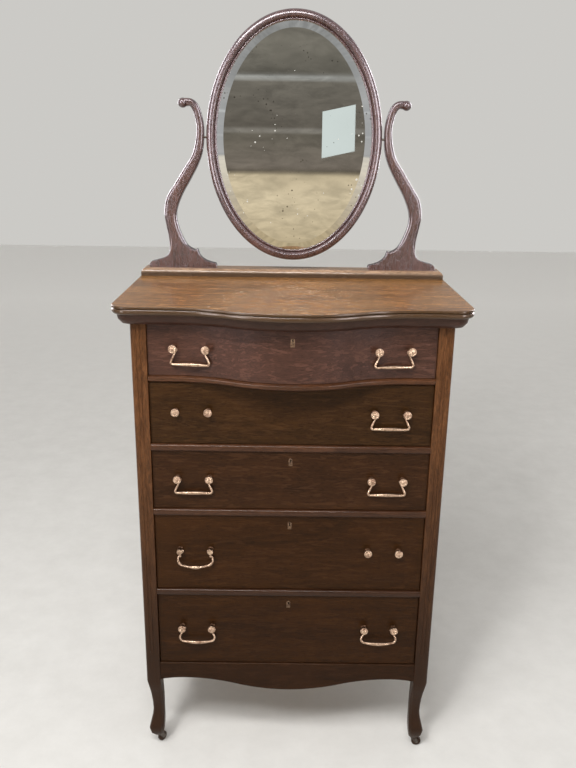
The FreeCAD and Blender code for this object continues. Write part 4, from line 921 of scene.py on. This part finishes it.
# how the wire leaves the knob: across and up from the middle of the pair
WIRE_END, WIRE_HUB, WIRE_BEND = 0.0343, 0.0335, 0.003
ARM_TOP, ARM_FALL, ARM_SWELL = 0.0325, 0.0048, 0.0006
WIRE_SIDES, WIRE_FORWARD = 14, 0.0075
TWIST_PITCH, TWIST_START, TWIST_FADE = 0.0045, 0.012, 0.004
THIN_WIRE, WIRE_GAIN, THIN_DROP, GAIN_DROP = 0.0016, 0.0013, 0.013, 0.014
BOW_START = 0.015
ARM_BALL, ARM_BALL_ACROSS, ARM_BALL_DROP = 0.0036, 0.0385, 0.0170
# by drawer: half width, drop, radius of the lower corner, forward bow and sag of the grip
HANDLES = {
    1: (0.0452, 0.0387, 0.0050, 0.003, 0.0012),
    2: (0.0452, 0.0387, 0.0050, 0.004, 0.0012),
    3: (0.0452, 0.0387, 0.0050, 0.003, 0.0012),
    4: (0.0440, 0.0410, 0.0150, 0.009, -0.0030),
    5: (0.0452, 0.0387, 0.0095, 0.009, -0.0010),
}


def arm_line(half, drop, corner):
    """Right half of a handle, from the neck of its knob to the foot of the lower corner."""
    splay = math.degrees(math.atan2(half - ARM_TOP, drop - corner - ARM_FALL))
    line = around(WIRE_HUB, -WIRE_BEND, WIRE_BEND, 90, 180 + splay, 8)
    lower = around(half - corner, corner - drop, corner, splay - 4, -90, 8)
    (x0, z0), (x1, z1) = line[-1], lower[0]
    for step in range(1, 8):
        share = step / 8
        swell = ARM_SWELL * math.sin(math.pi * share)
        line.append((x0 + (x1 - x0) * share + swell, z0 + (z1 - z0) * share))
    return [(WIRE_END, 0.0)] + line + lower


def wire(origin, across, front, line, radii, bows, twist):
    """A round or twisted wire along a line, seen from the front as (across, up)."""
    up = Vector((0.0, 0.0, 1.0))
    places = [origin + across * x + up * z + front * out for (x, z), out in zip(line, bows)]
    rings = []
    wound = 0.0
    for index, (place, radius) in enumerate(zip(places, radii)):
        before, after = places[max(0, index - 1)], places[min(len(places) - 1, index + 1)]
        ahead = (after - before).normalized()
        side = ahead.cross(front).normalized()
        other = side.cross(ahead)
        wound += (place - before).length / TWIST_PITCH * math.pi
        x, z = line[index]
        wrung = limited((abs(x) - TWIST_START) / TWIST_FADE) if z < -TWIST_START else 0.0
        ring = []
        for step in range(WIRE_SIDES):
            turn = 2 * math.pi * step / WIRE_SIDES
            thick = radius * (1 + twist * wrung * math.cos(2 * turn + 2 * wound))
            ring.append(place + (side * math.cos(turn) + other * math.sin(turn)) * thick)
        rings.append(ring)
    return skin(rings)


def hump(distance, reach):
    """A half circle's height, as a share, at a distance from its middle."""
    return math.sqrt(max(0.0, 1 - (distance / reach) ** 2))


def old_grip(x):
    """Radius of the older handle: a swelling grip with a bead and a thin ring at each end."""
    place = abs(x)
    swell = 0.0024 + 0.0024 * max(0.0, 1 - (place / 0.0150) ** 2)
    return max(swell, 0.0034 * hump(place - 0.0170, 0.0034), 0.0029 * hump(place - 0.0235, 0.0018))


def make_bail(number, hand):
    old = number == OLD_DRAWER
    pair = knobs(number)[:2] if hand == "left" else knobs(number)[2:]
    front = (pair[0][1] + pair[1][1]).normalized()
    origin = (pair[0][0] + pair[1][0]) / 2 + front * WIRE_FORWARD
    across = (pair[1][0] - pair[0][0]).normalized()
    half, drop, corner, forward, sag = HANDLES[number]

    right = arm_line(half, drop, corner)
    radii = [THIN_WIRE + WIRE_GAIN * limited((-z - THIN_DROP) / GAIN_DROP) for _, z in right]
    reach = right[-1][0]
    count = 120 if old else 40
    grip = []
    for step in range(1, count):
        low = sag * math.sin(math.pi * step / count) - drop
        grip.append((reach * (1 - 2 * step / count), low))
    if old:
        thick = [old_grip(x) for x, _ in grip]
    else:
        thick = [0.0029 + 0.0016 * math.cos(math.pi / 2 * x / reach) ** 1.3 for x, _ in grip]

    line = right + grip + [(-x, z) for x, z in reversed(right)]
    bows = []
    for x, z in line:
        hung = limited((-z - BOW_START) / (drop - BOW_START))
        inwards = math.cos(math.pi / 2 * min(1.0, abs(x) / half))
        bows.append(forward * hung * (0.4 + 0.6 * inwards))
    twist = 0.22 if old else 0.0
    parts = [wire(origin, across, front, line, radii + thick + radii[::-1], bows, twist)]
    if old:  # a small ball on each arm, just below the knob
        turns = [math.pi * step / 10 for step in range(1, 10)]
        ball = [(-ARM_BALL * math.cos(turn), ARM_BALL * math.sin(turn)) for turn in turns]
        below = Vector((0.0, 0.0, ARM_BALL_DROP))
        for side in (-1, 1):
            middle = origin + across * side * ARM_BALL_ACROSS - below
            parts.append(lathe(ball, middle, front, 20))
    node = f"drawer_{number}_{hand}_bail"
    build(f"drawer_{number}_{hand}_handle", parts, brass, node, 60.0)


for number in range(1, 6):
    make_knobs(number)
BOTH = ("left", "right")
for number, hands in ((1, BOTH), (2, ("right",)), (3, BOTH), (5, BOTH), (4, ("left",))):
    for hand in hands:
        make_bail(number, hand)
print("twenty knobs and eight handles")

# %% [markdown]
# The picture needs a pale floor, a pale surround and soft light from above and in front.
# The surround is a plain pale grey to the camera. What the glass and the varnish mirror is a
# room: a cream wall low down, dark stained boards with thin pale bars above it, one small
# pane of light, and on either side a bright window that leaves a streak on rounded wood. It
# changes only with direction, so it stays the same wherever the chest stands.


# %% Floor, room and light
def make_floor():
    bpy.ops.mesh.primitive_plane_add(size=16.0, location=(0.0, 2.0, 0.0))
    floor = bpy.context.object
    floor.name = "floor"
    made = Finish("pale_floor")
    grain = made.noise(made.place(), 9.0, 8.0, 0.7)
    near = made.ramp(grain, (0.35, (0.68, 0.665, 0.635)), (0.68, (0.735, 0.72, 0.69)))
    away = made.ramp(made.times(made.split(made.place())["Y"], 0.2), (0.0, 0.0), (0.8, 1.0))
    colour = made.mix(away, near, (0.95, 0.935, 0.90))
    made.look(Base_Color=colour, Roughness=0.85, Specular_IOR_Level=0.1)
    paint(floor, made.material)


class Room(Finish):
    """The same helpers on the node tree of the world."""

    def __init__(self, name):
        world = bpy.data.worlds.new(name)
        bpy.context.scene.world = world
        world.use_nodes = True
        self.tree = world.node_tree
        self.tree.nodes.clear()

    def glow(self, colour, strength):
        return self.put("ShaderNodeBackground", Color=colour, Strength=strength).outputs[0]

    def either(self, share, one, other):
        made = self.tree.nodes.new("ShaderNodeMixShader")
        for index, value in enumerate((share, one, other)):
            self.feed(made, index, value)
        return made.outputs[0]


SIDE_LIGHT = (0.95, 0.99, 1.05)
WINDOW_LIGHT = (12.5, 12.2, 12.8)
PANE_LIGHT = (0.70, 0.77, 0.75)


def make_room():
    """Light by direction: a wall in front of the glass, more light at the sides, windows."""
    room = Room("room")
    where = room.put("ShaderNodeTexCoord").outputs["Generated"]
    x, y, z = room.split(where)
    depth = room.sums("MAXIMUM", room.times(y, -1.0), 0.05)
    across, height = room.sums("DIVIDE", x, depth), room.sums("DIVIDE", z, depth)
    wall = room.ramp(
        room.times(height, 1.25),
        (0.00, (0.50, 0.40, 0.25)),
        (0.10, (0.68, 0.57, 0.39)),
        (0.138, (0.60, 0.50, 0.34)),
        (0.142, (0.09, 0.075, 0.055)),
        (0.150, (0.20, 0.17, 0.14)),
        (0.20, (0.14, 0.125, 0.10)),
        (0.205, (0.28, 0.26, 0.23)),
        (0.210, (0.13, 0.115, 0.095)),
        (0.278, (0.17, 0.155, 0.13)),
        (0.284, (0.42, 0.42, 0.40)),
        (0.290, (0.13, 0.12, 0.10)),
        (0.335, (0.20, 0.185, 0.155)),
        (0.42, (0.12, 0.11, 0.09)),
        (0.55, (0.27, 0.27, 0.265)),
        (1.00, (0.50, 0.51, 0.52)),
    )
    boards = room.put("ShaderNodeCombineXYZ", X=across, Y=height)
    squeeze = room.put("ShaderNodeMapping", Vector=boards.outputs[0])
    squeeze.inputs["Scale"].default_value = (1.0, 3.2, 1.0)
    stain = room.noise(squeeze.outputs[0], 26.0, 7.0, 0.68, 0.5)
    wall = room.mix(1.0, wall, room.ramp(stain, (0.36, 0.84), (0.62, 1.20)), "MULTIPLY")
    slant = room.plus(height, room.times(across, -0.22))
    pane = 1.0
    for test, value, edge in (
        ("GREATER_THAN", across, 0.043), ("LESS_THAN", across, 0.084),
        ("GREATER_THAN", slant, 0.122), ("LESS_THAN", slant, 0.178),
    ):
        pane = room.times(pane, room.sums(test, value, edge))
    wall = room.mix(pane, wall, PANE_LIGHT)
    behind = room.ramp(z, (0.0, 0.16), (0.35, 0.20), (0.7, 0.45), (1.0, 0.9))
    view = room.mix(room.ramp(room.times(y, 2.0), (0.0, 0.0), (0.2, 1.0)), wall, behind)
    sideways, raised = room.sums("ABSOLUTE", x, 0.0), room.plus(z, 0.3)
    beside = room.ramp(sideways, (0.15, 0.0), (0.28, 0.38), (0.60, 0.42), (0.95, 0.2))
    beside = room.times(room.times(beside, 0.9), room.ramp(raised, (0.1, 0.0), (0.4, 1.0)))
    view = room.mix(beside, view, SIDE_LIGHT)
    wide = room.ramp(sideways, (0.52, 0.0), (0.58, 1.0), (0.72, 1.0), (0.77, 0.0))
    high = room.ramp(raised, (0.12, 0.0), (0.20, 1.0), (0.75, 1.0), (0.85, 0.0))
    view = room.mix(room.times(wide, high), view, WINDOW_LIGHT)
    rays = room.put("ShaderNodeLightPath").outputs
    plain, backdrop = room.glow((1.0, 0.985, 0.96), 0.50), room.glow((0.60, 0.59, 0.565), 1.0)
    light = room.either(rays["Is Glossy Ray"], plain, room.glow(view, 1.0))
    seen = room.either(rays["Is Camera Ray"], light, backdrop)
    out = room.put("ShaderNodeOutputWorld")
    room.tree.links.new(seen, out.inputs["Surface"])


def lamp(name, place, aim, power, size, mirrored=True):
    light = bpy.data.lights.new(name, "AREA")
    light.energy = power
    light.shape = "RECTANGLE"
    light.size, light.size_y = size
    obj = bpy.data.objects.new(name, light)
    bpy.context.scene.collection.objects.link(obj)
    obj.location = place
    obj.rotation_mode = "QUATERNION"
    obj.rotation_quaternion = (Vector(aim) - Vector(place)).to_track_quat("-Z", "Y")
    obj.visible_glossy = mirrored


make_floor()
make_room()
lamp("key_light", (-1.3, -2.7, 3.7), (0.0, 0.0, 0.9), power=70.0, size=(0.6, 0.6), mirrored=False)
lamp("strip_light", (-0.8, -2.2, 4.1), (0.0, -0.1, 1.2), power=118.0, size=(2.8, 0.25))
lamp("right_fill", (3.0, -1.8, 2.2), (0.0, 0.0, 0.8), power=7.0, size=(1.4, 2.0))
print("floor, room and lamps ready")

# %% [markdown]
# The camera stands where the photographer stood: level with the mirror's pivots and about
# one and three quarter metres from the drawers, looking down at the case. The directions
# below came from solving the photograph's perspective, and the lens follows from the same
# solution.

# %% Camera
EYE_PLACE = (-0.0175, -1.8982, 1.6049)
eye = bpy.data.cameras.new("eye")
eye.sensor_width = 36.0
eye.lens = 36.27
camera = bpy.data.objects.new("eye", eye)
bpy.context.scene.collection.objects.link(camera)
to_right = Vector((0.99990695, -0.00057413, 0.01362963))
upwards = Vector((-0.01281732, 0.30252174, 0.95305633))
to_back = to_right.cross(upwards)
turn = Matrix((to_right, upwards, to_back)).transposed().to_4x4()
camera.matrix_world = Matrix.Translation(EYE_PLACE) @ turn
bpy.context.scene.camera = camera
bpy.context.scene.view_settings.view_transform = "Standard"
print("camera at", tuple(round(v, 3) for v in camera.location))
